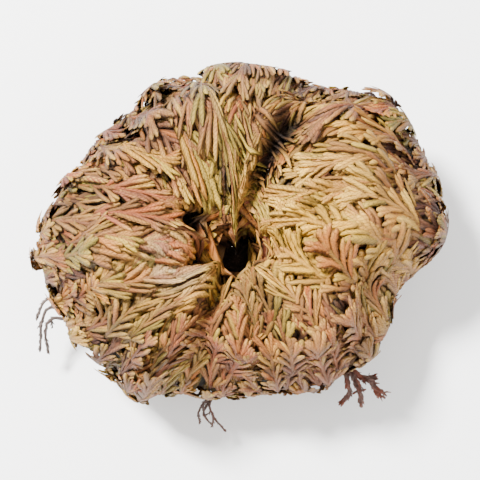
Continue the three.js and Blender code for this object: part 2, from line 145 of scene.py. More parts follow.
def onSection(q, rim, crest):
    # Radius and height of the section at row number q, for this rim and crest.
    r, rShare, z, zShare = np.moveaxis(throughRows(ring["section"], q), -1, 0)
    return np.stack([r + rShare * rim, z + zShare * crest])


rulerRow = np.linspace(0, len(ring["section"]) - 1, 401)
nominalCrest = ring["crestBase"] + ring["crestPerRim"] * ring["nominalRim"]
rulerShare = runAlong(onSection(rulerRow, ring["nominalRim"], nominalCrest).T)
sectionLength = rulerShare[-1]
rulerShare = rulerShare / sectionLength
rowsPastEnd = (rulerRow[-1] - rulerRow[-9]) / (rulerShare[-1] - rulerShare[-9])        # for each share past the end


def waves(rows, share, azimuth):
    # A sum of sines that run round the axis and along the section.
    return sum(size * np.sin(turns * azimuth + along * share + phase) for size, turns, along, phase in rows)


def bell(azimuth, centre, halfWidth):
    # 1 at the centre, falling off like a bell on both sides; both are in degrees.
    away = (azimuth - math.radians(centre) + math.pi) % fullTurn - math.pi
    return np.exp(-(away / math.radians(halfWidth)) ** 2)


def cleftAt(cleft, share, azimuth):
    # 1 in the middle of a cleft: a bell across it, times a rise and a fall along it.
    centre, halfWidth, _, start, stop = cleft
    edge = ring["cleftEdge"]
    along = smooth(start - edge, start + edge, share) * (1 - smooth(stop - edge, stop + edge, share))
    return bell(azimuth, centre, halfWidth) * along


def sink(share, azimuth):
    # How far the surface lies inwards: the creases' hollows less the low swells, then the clefts, then the wall.
    hollow = sum(deep * bell(azimuth, at, halfWidth) for at, halfWidth, deep in ring["creases"])
    above = smooth(*ring["creaseStart"], share) * (1 - ring["endShallower"] * smooth(*ring["creaseEnd"], share))
    narrow = sum(cleft[2] * cleftAt(cleft, share, azimuth) for cleft in ring["clefts"])
    wall = ring["wall"]
    bulge = wall["height"] * bell(azimuth, wall["azimuth"], wall["halfWidth"]) * smooth(*wall["shares"], share)
    return above * (hollow - waves(ring["swells"], share, azimuth)) + narrow - bulge


def flowAt(share, azimuth):
    # How far the sprays turn from straight inwards: a few headings round the ring joined by lines, plus waves.
    at, turn = np.array(ring["flow"], float).T
    steady = np.interp(np.degrees(azimuth) % 360, at, turn, period=360)
    over = smooth(*ring["flowShares"], share)
    return np.radians(over * (steady + waves(ring["flowWaves"], share, azimuth)))


def shadeIn(share, azimuth):
    # Painted shade in the clefts and along the creases: most in the clefts, less along the creases.
    paintedShade = sum(ring["creaseShade"] * deep * bell(azimuth, at, ring["shadeNarrower"] * halfWidth)
               for at, halfWidth, deep in ring["creases"]) * smooth(*ring["shadeShares"], share)
    for cleft in ring["clefts"]:
        paintedShade = np.maximum(paintedShade, ring["cleftShade"] * cleftAt(cleft, share, azimuth))
    return np.clip(paintedShade, 0, 1)


def bodyPoint(share, azimuth, depth):
    # The section's point at this share, moved depth plus sink inwards along the section's normal, then turned
    # round the axis to its azimuth plus the lean there. Past its end the section runs straight on.
    rim = rimAt(azimuth)
    crest = ring["crestBase"] + ring["crestPerRim"] * rim
    crest = crest - np.logaddexp(0, crest - ring["crestMost"])        # the tallest lobes are held down a little
    q = np.interp(share, rulerShare, rulerRow) + np.maximum(share - 1, 0) * rowsPastEnd
    r, z = onSection(q, rim, crest)
    runR, runZ = onSection(q + 0.02, rim, crest) - onSection(q - 0.02, rim, crest)
    below = (depth + sink(share, azimuth)) / np.hypot(runR, runZ)
    turned = azimuth + smooth(*ring["leanShares"], share) * waves(ring["leans"], share, azimuth)
    return polar(r - below * runZ, turned, z + below * runR)


def tipShare(level, azimuth):
    # Where a whorl's fronds end: its own tip, further in near one azimuth, and wandering except in the heart.
    reach = ring["longReach"]
    near = np.exp(-(np.sin((azimuth - math.radians(reach["azimuth"])) / 2) / reach["halfWidth"]) ** 2)
    wander = waves([(0.03, 2, 0, 1 + 2 * level), (0.03, 5, 0, 3 * level), (0.025, 9, 0, 4 * level)], 0, azimuth)
    return whorls[level]["tip"] + reach["more"][level] * near + (wander if level < 3 else 0)


def whorlDepth(level, share, azimuth):
    # One gap deeper for each whorl outside, until past the furthest tips of that whorl nearby.
    depth = np.zeros(np.broadcast(share, azimuth).shape)
    for outer in range(level):
        halfSector = (1 + ring["sectorWander"]) * math.pi / whorls[outer]["count"]
        end = np.max([tipShare(outer, azimuth + k * halfSector) for k in (-1, -0.5, 0, 0.5, 1)], axis=0)
        depth = depth + ring["whorlGap"] * (1 - smooth(end + ring["rise"][0], end + ring["rise"][1], share))
    return depth


class FrondSheet:
    # A frond's own flat sheet: x runs along it from the rootstock, y to its left and z out of it, all in
    # millimetres. place() wraps it onto the ring, arched across its width and with its left side higher, so
    # that it lies over the next frond like a tile.
    arch, tilt, lift, bendMost, bendShares, widest = 0.9, (0.35, 0.9), 0.3, (-2.2, 2), (0.2, 0.4), 1.2
    highest, highShares, dropShares, ceiling = (2.7, 4.3), (0.5, 0.62), (-0.08, 0.02), 51.9
    ruler = np.linspace(0, 1.03, 104)

    def __init__(self, level, number):
        count = whorls[level]["count"]
        self.level, self.seed = level, 100 * level + number
        start, stop = (math.radians(whorls[level]["turn"])
                       + (k - 0.5 + ring["sectorWander"] * (draw(k % count, 20 + level) - 0.5)) * fullTurn / count
                       for k in (number, number + 1))
        self.sector, self.azimuth = stop - start, (start + stop) / 2
        self.end = float(tipShare(level, self.azimuth)) - ring["shortened"] * draw(self.seed, 2)
        self.end -= whorls[level]["uneven"] * draw(self.seed, 9)
        self.tilted = mix(*self.tilt, draw(self.seed, 7))

    def halfWidth(self, share):
        # Half the sector's angle times the distance from the axis along the frond's middle.
        depth = whorlDepth(self.level, share, self.azimuth)
        point = bodyPoint(share, np.full_like(share, self.azimuth), depth)
        return np.hypot(point[..., 0], point[..., 1]) * self.sector / 2

    def onRing(self, points, anchor=(0, 0)):
        # The share of the section, how far aside (1 is the frond's edge) and the azimuth of points of the sheet.
        # Distances aside run from the anchor, so that a spray keeps its shape where its frond narrows.
        widths = self.halfWidth(self.ruler)
        share = np.clip(points[..., 0] / sectionLength, 0, self.ruler[-1])
        anchorX, anchorY = np.moveaxis(np.asarray(anchor, float), -1, 0)
        aside = anchorY / np.interp(anchorX / sectionLength, self.ruler, widths)
        aside = aside + (points[..., 1] - anchorY) / np.interp(share, self.ruler, widths)
        return share, aside, self.azimuth + aside * self.sector / 2

    def place(self, points, anchor=(0, 0)):
        # Height over the sheet plus a parabola and a slope across it, less a drop at the tip, flattened off where
        # it gets too high; then the ring's own point at that height.
        share, aside, azimuth = self.onRing(points, anchor)
        aside = np.clip(aside, -self.widest, self.widest)
        bend = smooth(*self.bendShares, share) * (self.tilted * aside - self.arch * aside ** 2 + self.lift)
        drop = whorls[self.level]["tipDrop"] * smooth(*(self.end + by for by in self.dropShares), share)
        height = points[..., 2] + np.clip(bend, *self.bendMost) - drop
        most = mix(*self.highest, smooth(*self.highShares, share)) - 1
        height = np.minimum(height, 1) + most * np.tanh(np.maximum(height - 1, 0) / most)
        placed = bodyPoint(share, azimuth, whorlDepth(self.level, share, azimuth) - height)
        over = np.maximum(placed[..., 2] - self.ceiling, 0)
        placed[..., 2] += np.tanh(over) - over
        return placed


print("ring worked out, section", round(sectionLength, 1), "mm long")


def skin(rings, ends, run, keel=0):
    # A closed skin over rings of corners (tube, ring, way round) with one point at each end: quads from ring to
    # ring, triangles round the ends. Each corner of a face has the run along the tube and the share round it.
    count, ringCount, sides, _ = rings.shape
    k = np.arange(sides)
    n = (k + 1) % sides
    row = np.arange(ringCount - 1)[:, None] * sides
    last, pole = (ringCount - 1) * sides, np.full(sides, ringCount * sides)
    quads = np.stack([row + k, row + n, row + sides + n, row + sides + k], -1).reshape(-1, 4)
    quadsRound = np.tile(np.stack([k, k + 1, k + 1, k], -1), (ringCount - 1, 1))
    triangles = np.concatenate([np.stack([pole, n, k], -1), np.stack([pole + 1, last + k, last + n], -1)])
    trianglesRound = np.concatenate([np.stack([k + 0.5, k + 1, k], -1), np.stack([k + 0.5, k, k + 1], -1)])
    corners = np.concatenate([rings.reshape(count, -1, 3), ends], 1)
    part = {"corners": corners, "ringOf": np.append(np.repeat(np.arange(ringCount), sides), [0, ringCount - 1])}
    offset = (np.arange(count) * corners.shape[1])[:, None, None]
    runAt = np.concatenate([np.repeat(run, sides, 1), run[:, :1], run[:, -1:]], 1)
    for kind, faces, around in (("quads", quads, quadsRound), ("triangles", triangles, trianglesRound)):
        around = np.broadcast_to(around / sides - keel, (count, *faces.shape))
        part[kind] = (faces + offset).reshape(-1, faces.shape[1])
        part[kind + "Uv"] = np.stack([runAt[:, faces], around], -1)
    return part


def tubes(points, wide, halfWidth, halfThick, sides):
    # Flattened tubes along rows of points: each ring is an ellipse whose wide axis is square to the path.
    along = unit(np.gradient(points, axis=1))
    thick = unit(np.cross(along, wide))
    across = np.cross(thick, along)
    keel = 1 / 12 if sides == 3 else 0        # a three-sided tube has its ridge on top
    angle = (np.arange(sides) / sides - keel) * fullTurn
    rings = (points[:, :, None] + across[:, :, None] * (halfWidth[:, :, None] * np.cos(angle))[..., None]
             + thick[:, :, None] * (halfThick[:, :, None] * np.sin(angle))[..., None])
    ends = [points[:, k] + along[:, k] * out * halfThick[:, k, None] for k, out in ((0, -0.3), (-1, 0.8))]
    return skin(rings, np.stack(ends, 1), runAlong(points), keel)


def facingOut(part):
    # Turns the faces round if the volume that they enclose comes out negative.
    p = part["corners"].reshape(-1, 3)
    p = p - p.mean(0)
    volume = sum(np.einsum("ij,ij->", p[faces[:, 0]], np.cross(p[faces[:, k]], p[faces[:, k + 1]]))
                 for faces in (part["quads"], part["triangles"]) for k in range(1, faces.shape[1] - 1))
    if volume < 0:
        for kind in ("quads", "triangles"):
            part[kind], part[kind + "Uv"] = part[kind][:, ::-1], part[kind + "Uv"][..., ::-1, :]
    return part


def withValues(part, grow, **each):
    # grow has one number for each ring, the others one for each tube or one for all.
    count, perTube, _ = part["corners"].shape
    part["values"] = {key: np.repeat(np.broadcast_to(value, count), perTube) for key, value in each.items()}
    part["values"]["grow"] = np.tile(np.asarray(grow)[part["ringOf"]], count)
    return part


def addObject(name, data):
    # A new object in the scene for this mesh, lamp or camera.
    thing = bpy.data.objects.new(name, data)
    bpy.context.scene.collection.objects.link(thing)
    return thing


def makeMesh(name, parts):
    # Joins parts into one mesh object at the origin, with its UV map and its named values.
    used, corners, faces = 0, [], []
    for part in map(facingOut, parts):
        corners.append(part["corners"].reshape(-1, 3))
        faces += [(part[kind] + used, part[kind + "Uv"]) for kind in ("quads", "triangles")]
        used += len(corners[-1])
    loops = np.concatenate([face.ravel() for face, _ in faces])
    sizes = np.concatenate([np.full(len(face), face.shape[1]) for face, _ in faces])
    mesh = bpy.data.meshes.new(name)
    for layer, count, key, numbers, kind in (
            (mesh.vertices, used, "co", np.concatenate(corners).ravel() * metre, np.float32),
            (mesh.loops, len(loops), "vertex_index", loops, np.int32),
            (mesh.polygons, len(sizes), "loop_start", np.cumsum(sizes) - sizes, np.int32)):
        layer.add(count)
        layer.foreach_set(key, numbers.astype(kind))
    mesh.update(calc_edges=True)
    mesh.shade_smooth()
    uv = np.concatenate([around.ravel() for _, around in faces])
    mesh.uv_layers.new(name="UVMap").data.foreach_set("uv", uv.astype(np.float32))
    for key in parts[0]["values"]:
        value = np.concatenate([part["values"][key] for part in parts])
        mesh.attributes.new(key, "FLOAT", "POINT").data.foreach_set("value", value.astype(np.float32))
    return addObject(name, mesh)


def bent(root, startWay, endWay, length, u):
    # A path that leaves its root along one direction and ends along another: root plus length times the
    # direction's running mean up to u.
    return root + length * (startWay * u + (endWay - startWay) * u * u / 2)


def bentPaths(root, startWay, endWay, length, steps):
    # One such path for each root, as rows of points.
    return bent(root[:, None], startWay[:, None], endWay[:, None], length[:, None, None], steps[None, :, None])


def banked(aside, by):
    # A level direction, raised by this angle.
    return aside * np.cos(by)[:, None] + up * np.sin(by)[:, None]


def turnedAside(way, aside, by):
    # A direction turned by this angle towards another one square to it.
    return unit(way * np.cos(by)[:, None] + aside * np.sin(by)[:, None])


# A spray: a stem with blunt fingers on alternate sides of it, some of them forked, and a fan of them at its end.
fineSpray = {
    "stemWidth": (1.3, 1.05), "stemSides": 4, "stemSteps": 7, "stemAxis": 0.68, "stemFlatness": 0.75,
    "stemTaper": ([0, 0.1, 0.8, 1], [0.85, 1, 0.9, 0.5]), "stemGrow": 0.55,
    "firstFinger": 0.9, "lastFinger": 1.2, "fingerStep": 1.95, "stepStray": 0.3,
    "fingerLength": (8.6, 6.0), "lengthStray": (0.75, 1.15), "longest": 0.8, "fingerWidth": (1.2, 1.7),
    "fingerAngles": (19, 25), "fingerStray": 5, "fingerRise": (-0.03, 0.07), "flatness": 0.42,
    "fingerTaper": ([0, 0.2, 0.6, 0.85, 1], [0.7, 0.92, 1.05, 0.95, 0.5]), "fingerGrow": (0.35, 1.0),
    "fingerSides": 3, "fingerRings": 7, "beading": 0.1, "twist": 0.16,
    "tipFingers": (-24, -8, 8, 24), "tipStray": 6, "tipLength": (3.5, 5.5), "tipFrom": 0.88,
    "forked": 0.5, "forkLeast": 2.6, "forkAt": 0.45, "forkAngle": (22, 34), "forkTurn": 0.4,
    "forkLength": 0.55, "forkWidth": 0.92,
}
coarseSpray = {
    **fineSpray, "stemSides": 3, "stemSteps": 4, "fingerStep": 2.6, "fingerLength": (8.0, 4.6),
    "fingerAngles": (28, 6), "fingerWidth": (1.9, 2.6), "flatness": 0.3, "fingerStray": 8,
    "fingerRise": (-0.06, 0.17), "fingerRings": 4, "beading": 0, "tipFingers": (-14, 14), "forked": 0,
}


def growSprays(rng, look, root, heading, turn, length, slope, roll, tone):
    # root is where each spray starts, heading its first direction in the sheet and turn how far it swings by
    # its end, in radians; slope is its rise at both ends and roll its bank to the side.
    startWay, endWay = unit(polar(1, heading, slope[0])), unit(polar(1, heading + turn, slope[1]))
    steps = np.linspace(0, 1, look["stemSteps"])
    taper = np.interp(steps, *look["stemTaper"]) * mix(*look["stemWidth"], steps) / 2
    halfWidth = np.tile(taper, (len(root), 1))
    wide = banked(unit(np.cross(up, startWay)), roll)
    stems = tubes(bentPaths(root, startWay, endWay, length, steps), wide[:, None], halfWidth,
                  halfWidth * look["stemFlatness"], look["stemSides"])
    anchor = root[:, :2] + length[:, None] / 2 * polar(1, heading + turn / 4, 0)[:, :2]
    stems["anchor"] = anchor[:, None]
    withValues(stems, steps * look["stemGrow"], tone=tone, hue=tone, axis=look["stemAxis"])

    # Fingers: the spray that each belongs to, how far up it stands, its angle and its length.
    each = np.floor((length - look["lastFinger"]) / look["fingerStep"]).astype(int)
    owner, order = countOff(np.maximum(each, 1))
    stray = rng.uniform(-look["stepStray"], look["stepStray"], len(owner))
    at = (look["firstFinger"] + order * look["fingerStep"] + stray) / length[owner]
    side = np.where(order % 2 == 0, 1.0, -1.0) * np.where(rng.random(len(root)) < 0.5, 1, -1)[owner]
    angle = side * np.radians(look["fingerAngles"][0] + rng.uniform(-1, 1, len(owner)) * look["fingerStray"])
    size = mix(*look["fingerLength"], at) * rng.uniform(*look["lengthStray"], len(owner))
    tips = np.repeat(np.arange(len(root)), len(look["tipFingers"]))
    stray = rng.uniform(-look["tipStray"], look["tipStray"], len(tips))
    angle = np.append(angle, np.radians(np.tile(look["tipFingers"], len(root)) + stray))
    size = np.append(size, rng.uniform(*look["tipLength"], len(tips)))
    owner, at = np.append(owner, tips), np.append(at, np.full(len(tips), look["tipFrom"]))
    size = np.minimum(size, length[owner] * look["longest"])

    base = bent(root[owner], startWay[owner], endWay[owner], length[owner, None], at[:, None])
    along = unit(mix(startWay[owner], endWay[owner], at[:, None]))
    across = banked(unit(np.cross(up, along)), roll[owner])
    leave = turnedAside(along, across, angle)
    arrive = turnedAside(along, across, np.clip(angle, -1, 1) * look["fingerAngles"][1] / look["fingerAngles"][0])
    arrive = unit(arrive + up * rng.normal(*look["fingerRise"], len(owner))[:, None])
    chance = rng.random(len(owner))
    width = rng.uniform(*look["fingerWidth"], len(owner))

    # A forked finger sends a shorter one out of its middle, to the outer side.
    if look["forked"]:
        pick = np.flatnonzero((rng.random(len(owner)) < look["forked"]) & (size > look["forkLeast"]))
        at, by = look["forkAt"], np.sign(angle[pick]) * np.radians(rng.uniform(*look["forkAngle"], len(pick)))
        forks = (bent(base[pick], leave[pick], arrive[pick], size[pick, None], at),
                 turnedAside(unit(mix(leave[pick], arrive[pick], at)), across[pick], by),
                 turnedAside(arrive[pick], across[pick], by * look["forkTurn"]), size[pick] * look["forkLength"],
                 width[pick] * look["forkWidth"], across[pick], chance[pick], owner[pick])
        base, leave, arrive, size, width, across, chance, owner = map(
            np.concatenate, zip((base, leave, arrive, size, width, across, chance, owner), forks))

    steps = np.linspace(0, 1, look["fingerRings"])
    bead = 1 + look["beading"] * np.where(np.arange(len(steps)) % 2 == 0, -1, 1)
    halfWidth = np.outer(width / 2, np.interp(steps, *look["fingerTaper"]) * bead)
    wide = banked(across, rng.normal(0, look["twist"], len(size)))
    fingers = tubes(bentPaths(base, leave, arrive, size, steps), wide[:, None], halfWidth,
                    halfWidth * look["flatness"], look["fingerSides"])
    fingers["anchor"] = anchor[owner][:, None]
    return [stems, withValues(fingers, mix(*look["fingerGrow"], steps), tone=chance, hue=tone[owner], axis=0)]


# A frond: its rib, a lining, fine sprays in rows across it, and coarse ones under them and where it is covered.
frond = {
    "ribWidth": (1.7, 1.1), "ribLow": -0.4, "ribSway": 0.3, "ribWave": 7, "swayShares": (0.1, 0.4),
    "ribFrom": 0.002, "ribShort": 0.02, "ribRings": 60, "ribSides": 6, "ribFlatness": 0.8,
    "bareRibs": {(1, 5), (2, 9), (2, 10)},        # whorl and number
    "bareRibLift": 2.3, "bareRibWidth": (2.0, 1.3), "bareRoom": 1.7,
    "rowStep": (7.6, 9.4, 10.0, 8.8), "laneStep": (3.7, 4.4, 4.6, 4.9), "rowsFrom": -6, "lastRow": (8, 10, 10, 10),
    "stray": 0.5, "edge": 0.92, "spread": 14, "angles": 7, "turns": 6, "turnBack": 0.7, "ahead": 6,
    "length": (15, 24), "height": (-1.1, 0.9), "rise": (0.13, -0.03), "riseStray": (0.07, 0.11), "roll": 12,
    "fill": 1.1, "roomAt": 0.75, "turnIn": 0.8, "tipReach": 0.93, "shortest": 2.5,
    "coarseStep": 3.8, "coarseLength": (9, 14), "coarseHeight": (-1.3, -0.8), "coarseRise": (0.1, -0.1),
    "coarseHeading": (42, 42, 42, 16), "coarseStray": 8, "closed": (0.65, 0.9, 1, 0.7),
    "liningFrom": 0.13, "liningShort": (0.03, 0.03, 0.06, 0.14), "liningHeight": (-1.1, -1.6, -1.8, -1.8),
    "liningThick": 0.25, "liningShade": 0.97, "liningSides": 12, "liningRings": 26, "liningWidth": (0.5, 1.15),
    # Painted shade for low growth and for growth that other whorls cover.
    "litHeight": 1.0, "litDepth": 2.0, "underShade": 0.25, "underDepths": (0.6, 2.4),
    "combed": {"azimuth": 98, "halfWidth": 30, "narrower": 0.6, "longer": 0.8},    # sprays long and parallel there
}

# Hands: clusters of long sprays that stand out from the rest, by whorl, frond, share of the section, side in mm,
# heading in degrees, length in mm and shade, 0 dark to 1 pale.
hands = {
    "places": [
        (2, 7, 0.70, -3.5, 4, 21, 0.9), (2, 7, 0.63, -5.5, 6, 16, 0.6), (1, 5, 0.63, 4.5, -8, 24, 0.8),
        (1, 6, 0.62, 0.5, -5, 17, 0.7), (2, 11, 0.64, -2.0, 21, 24, 0.9), (2, 10, 0.66, 5.5, 9, 26, 0.95),
        (2, 0, 0.68, -5.0, 24, 20, 0.88), (2, 9, 0.61, 1.5, -8, 25, 0.5), (2, 9, 0.59, -3.5, -4, 18, 0.7),
        (2, 10, 0.64, -4.5, 9, 15, 0.4), (1, 7, 0.55, 1.0, -11, 19, 0.5), (2, 8, 0.61, -5.0, 11, 18, 0.3),
        (1, 3, 0.63, 4.5, -18, 24, 0.2), (1, 3, 0.62, -2.5, -15, 22, 0.3), (1, 4, 0.64, -4.0, -4, 18, 0.3),
        (2, 5, 0.67, -5.5, -2, 21, 0.4), (1, 5, 0.6, -2.5, -18, 15, 0.6), (1, 0, 0.6, -1.0, 15, 20, 0.9),
        (1, 0, 0.58, -7.5, 18, 18, 0.9), (1, 12, 0.54, 3.5, 16, 20, 0.95), (1, 0, 0.53, 3.0, 20, 15, 1.0),
        (2, 10, 0.59, 3.0, 6, 16, 0.3), (1, 12, 0.47, -5.5, 14, 21, 0.7), (1, 9, 0.47, -3.5, 3, 19, 0.8),
        (0, 11, 0.41, -3.0, 2, 19, 0.7), (0, 10, 0.42, 4.0, -4, 18, 0.4), (1, 10, 0.45, -1.0, 3, 22, 0.7),
        (1, 11, 0.42, 0.0, 5, 23, 0.9), (0, 12, 0.43, -6.0, 10, 18, 0.6),
    ],
    "fan": (-13, 0, 13), "stray": 2.5, "spread": 1.3, "apart": 12, "height": (0.0, 0.6, 0.1), "bank": 1.5,
    "rise": (0.34, -0.13), "riseStray": 0.04, "lengthStray": (0.8, 1.05), "clear": 0.85, "room": 3.4,
    "look": {"fingerWidth": (1.3, 1.8), "tipLength": (4, 6.5)},
}


def growFrond(level, number):
    # The parts are grown flat in the frond's sheet and wrapped onto the ring at the end.
    sheet, row = FrondSheet(level, number), whorls[level]
    rng = np.random.default_rng(1000 + sheet.seed)
    endX = sheet.end * sectionLength

    combed = frond["combed"]
    smoothed = float(bell(sheet.azimuth, combed["azimuth"], combed["halfWidth"]))
    narrower, longer = 1 - combed["narrower"] * smoothed, 1 + combed["longer"] * smoothed
    closed, look = frond["closed"][level], dict(fineSpray)
    for key, factor in (("tipFingers", closed), ("fingerAngles", closed * (0.4 + 0.6 * narrower)),
                        ("fingerLength", longer)):
        look[key] = [value * factor for value in fineSpray[key]]
    bare = (level, number) in frond["bareRibs"]
    ribWidth = frond["bareRibWidth" if bare else "ribWidth"]

    def ribSide(share):
        # How far the rib sways to the side, as a sine that starts from nothing.
        room = sheet.halfWidth(share) - mix(*ribWidth, share / sheet.end) / 2 - 0.4
        sway = np.sin(frond["ribWave"] * share + fullTurn * draw(sheet.seed, 1))
        return frond["ribSway"] * sway * smooth(*frond["swayShares"], share) * room

    def alongFrond(share, y, z, half, thick, sides, grow, axis):
        # One tube along the frond, so far aside and so high.
        line = np.stack(np.broadcast_arrays(share * sectionLength, y, z), -1)[None]
        part = tubes(line, [0, 1, 0], half[None], thick[None], sides)
        return withValues(part, grow, tone=0.5, hue=0.5, axis=axis)

    share = np.linspace(frond["ribFrom"], sheet.end - frond["ribShort"], frond["ribRings"])
    lift = frond["bareRibLift"] * smooth(row["shownFrom"] - 0.05, row["shownFrom"] + 0.03, share) if bare else 0
    half = mix(*ribWidth, share / sheet.end) / 2
    half[-1] *= 0.6
    parts = [alongFrond(share, ribSide(share), frond["ribLow"] * smooth(0.05, 0.2, share) + lift, half,
                        half * frond["ribFlatness"], frond["ribSides"], np.linspace(0.3, 0.7, len(share)),
                        1 if bare else 0.5)]

    # The lining: one flat band low under the sprays, as wide as the frond, painted almost black as the shade
    # beneath them.
    n, (narrow, wide) = frond["liningRings"], frond["liningWidth"]
    share = np.linspace(frond["liningFrom"], sheet.end - frond["liningShort"][level], n)
    half = sheet.halfWidth(share) * np.interp(np.arange(n), [0, 2, n - 4, n - 1], [narrow, wide, wide, narrow])
    parts.append(alongFrond(share, 0, frond["liningHeight"][level], half, np.full(n, frond["liningThick"]),
                            frond["liningSides"], np.full(n, 0.3), 0))
    # Painted shade: the lining is kept at least this dark.
    parts[-1]["leastShade"] = frond["liningShade"]

    def addSprays(look, x, y, z, heading, turn, length, rise, roll, flow=0):
        # Keeps each spray inside its frond, apart from what its flow carries it aside: it turns in before the
        # frond's side and ends at the frond's tip.
        ahead = np.clip(x + frond["roomAt"] * length, 0, endX) / sectionLength
        drift = y + length * ((np.sin(heading) + np.sin(heading + turn)) / 2 - np.sin(flow))
        excess = (np.abs(drift) - sheet.halfWidth(ahead) * frond["fill"]) / length
        excess = np.clip(excess, 0, frond["turnIn"]) * np.sign(drift)
        length = np.minimum(length, (endX - x) / frond["tipReach"] + 0.8)
        keep = length > frond["shortest"]
        slope = [rng.normal(at, stray, keep.sum()) for at, stray in zip(rise, frond["riseStray"])]
        parts.extend(growSprays(rng, look, np.stack([x, y, z], -1)[keep], (heading - excess)[keep],
                                (turn - 0.4 * excess)[keep], length[keep], slope, roll[keep],
                                rng.random(keep.sum())))

    # Fine sprays in rows across the frond, each row lying over the next like tiles, all about the same way.
    rowStep = frond["rowStep"][level]
    rows = np.arange(row["shownFrom"] * sectionLength + frond["rowsFrom"], endX - frond["lastRow"][level], rowStep)
    lanes = np.round(2 * sheet.halfWidth(rows / sectionLength) / frond["laneStep"][level]).astype(int)
    lanes = np.maximum(lanes, 1)
    owner, order = countOff(lanes)
    lane = (order + 0.5 + 0.25 * (-1.0) ** owner) / lanes[owner] * 2 - 1
    lane = lane + rng.uniform(-1, 1, len(owner)) * 2 * frond["stray"] / lanes[owner]
    x = rows[owner] + rng.uniform(-1, 1, len(owner)) * frond["stray"] * rowStep
    y = lane * sheet.halfWidth(x / sectionLength) * frond["edge"]
    clear = np.abs(y - ribSide(x / sectionLength)) > (frond["bareRoom"] if bare else -1)
    mine = [place[2:] for place in hands["places"] if place[:2] == (level, number)]
    for share, side, heading, length, _ in mine:
        # No fine spray grows in the middle of a hand's own place.
        ahead = x + frond["ahead"] - share * sectionLength
        off = np.abs(y - side - ahead * math.tan(math.radians(heading)))
        clear &= (ahead < 0) | (ahead > hands["clear"] * length) | (off > hands["room"])
    x, y, lane = x[clear], y[clear], lane[clear]
    n, loose = len(x), row["loose"]
    share, _, azimuth = sheet.onRing(np.stack([x + frond["ahead"], y], -1))
    flow = flowAt(share, azimuth)
    heading = np.radians(frond["spread"] * lane + rng.normal(0, frond["angles"] * loose, n)) * narrower
    turn = -frond["turnBack"] * heading + np.radians(rng.normal(0, frond["turns"] * loose, n))
    addSprays(look, x, y, rng.uniform(*frond["height"], n), heading + flow, turn,
              longer * rng.uniform(*frond["length"], n), frond["rise"],
              np.radians(rng.normal(0, frond["roll"], n)), flow)

    # Coarse ones where other fronds cover it, and low under the fine ones, so that little light comes through.
    x = np.arange(row["bareTo"] * sectionLength, endX - 4, frond["coarseStep"])
    n, heading, stray = len(x), frond["coarseHeading"][level], frond["coarseStray"]
    x = x + rng.uniform(-0.4, 0.4, n) * frond["coarseStep"]
    side = np.where(np.arange(n) % 2 == 0, 1.0, -1.0)
    addSprays(look if level == 3 else coarseSpray, x, ribSide(x / sectionLength),
              rng.uniform(*frond["coarseHeight"], n), side * np.radians(rng.normal(heading, stray, n)),
              side * np.radians(rng.normal(-0.5 * heading, stray, n)), rng.uniform(*frond["coarseLength"], n),
              frond["coarseRise"], np.radians(rng.normal(0, frond["roll"], n)))

    # Large hands of this frond that lie over everything near them.
    for share, side, heading, length, hue in mine:
        n = len(hands["fan"])
        fan = np.radians(np.array(hands["fan"]) + rng.normal(0, hands["stray"], n))
        root = np.stack([share * sectionLength + rng.uniform(-1, 1, n), side + hands["apart"] * fan,
                         np.array(hands["height"])], -1)
        slope = [np.full(n, hands["rise"][0]), hands["rise"][1] + rng.normal(0, hands["riseStray"], n)]
        spread = hands["spread"] * fan
        parts.extend(growSprays(rng, {**look, **hands["look"]}, root, math.radians(heading) + spread, -spread,
                                length * rng.uniform(*hands["lengthStray"], n), slope, hands["bank"] * fan,
                                np.full(n, hue)))

    # Painted shade where shade falls: low growth (a little less near the rim), what other whorls cover, and the
    # creases and clefts are darkened; "deep" is the most of the three.
    for part in parts:
        flat, anchor, values = part["corners"], part.get("anchor", (0, 0)), part["values"]
        share, _, azimuth = sheet.onRing(flat, anchor)
        low = np.clip((frond["litHeight"] - flat[..., 2]) / frond["litDepth"], 0, 1)
        low = low * (1 - 0.3 * (1 - smooth(0.5, 0.65, share)))
        under = frond["underShade"] * smooth(*frond["underDepths"], whorlDepth(level, share, azimuth))
        under = np.maximum(under, part.get("leastShade", 0))
        values["deep"] = np.maximum(low, np.maximum(under, shadeIn(share, azimuth))).ravel()
        values["frondTone"] = np.full(values["deep"].shape, draw(sheet.seed, 5))
        part["corners"] = sheet.place(flat, anchor)
    return makeMesh(f"{row['name']}_{number + 1:02d}_sprays", parts)


def pigment(red, green, blue):
    # A colour given as it looks on a screen, 0 to 255, in the linear values that a shader takes.
    screen = np.array([red, green, blue]) / 255
    linear = np.where(screen <= 0.04045, screen / 12.92, ((screen + 0.055) / 1.055) ** 2.4)
    return (*map(float, linear), 1.0)


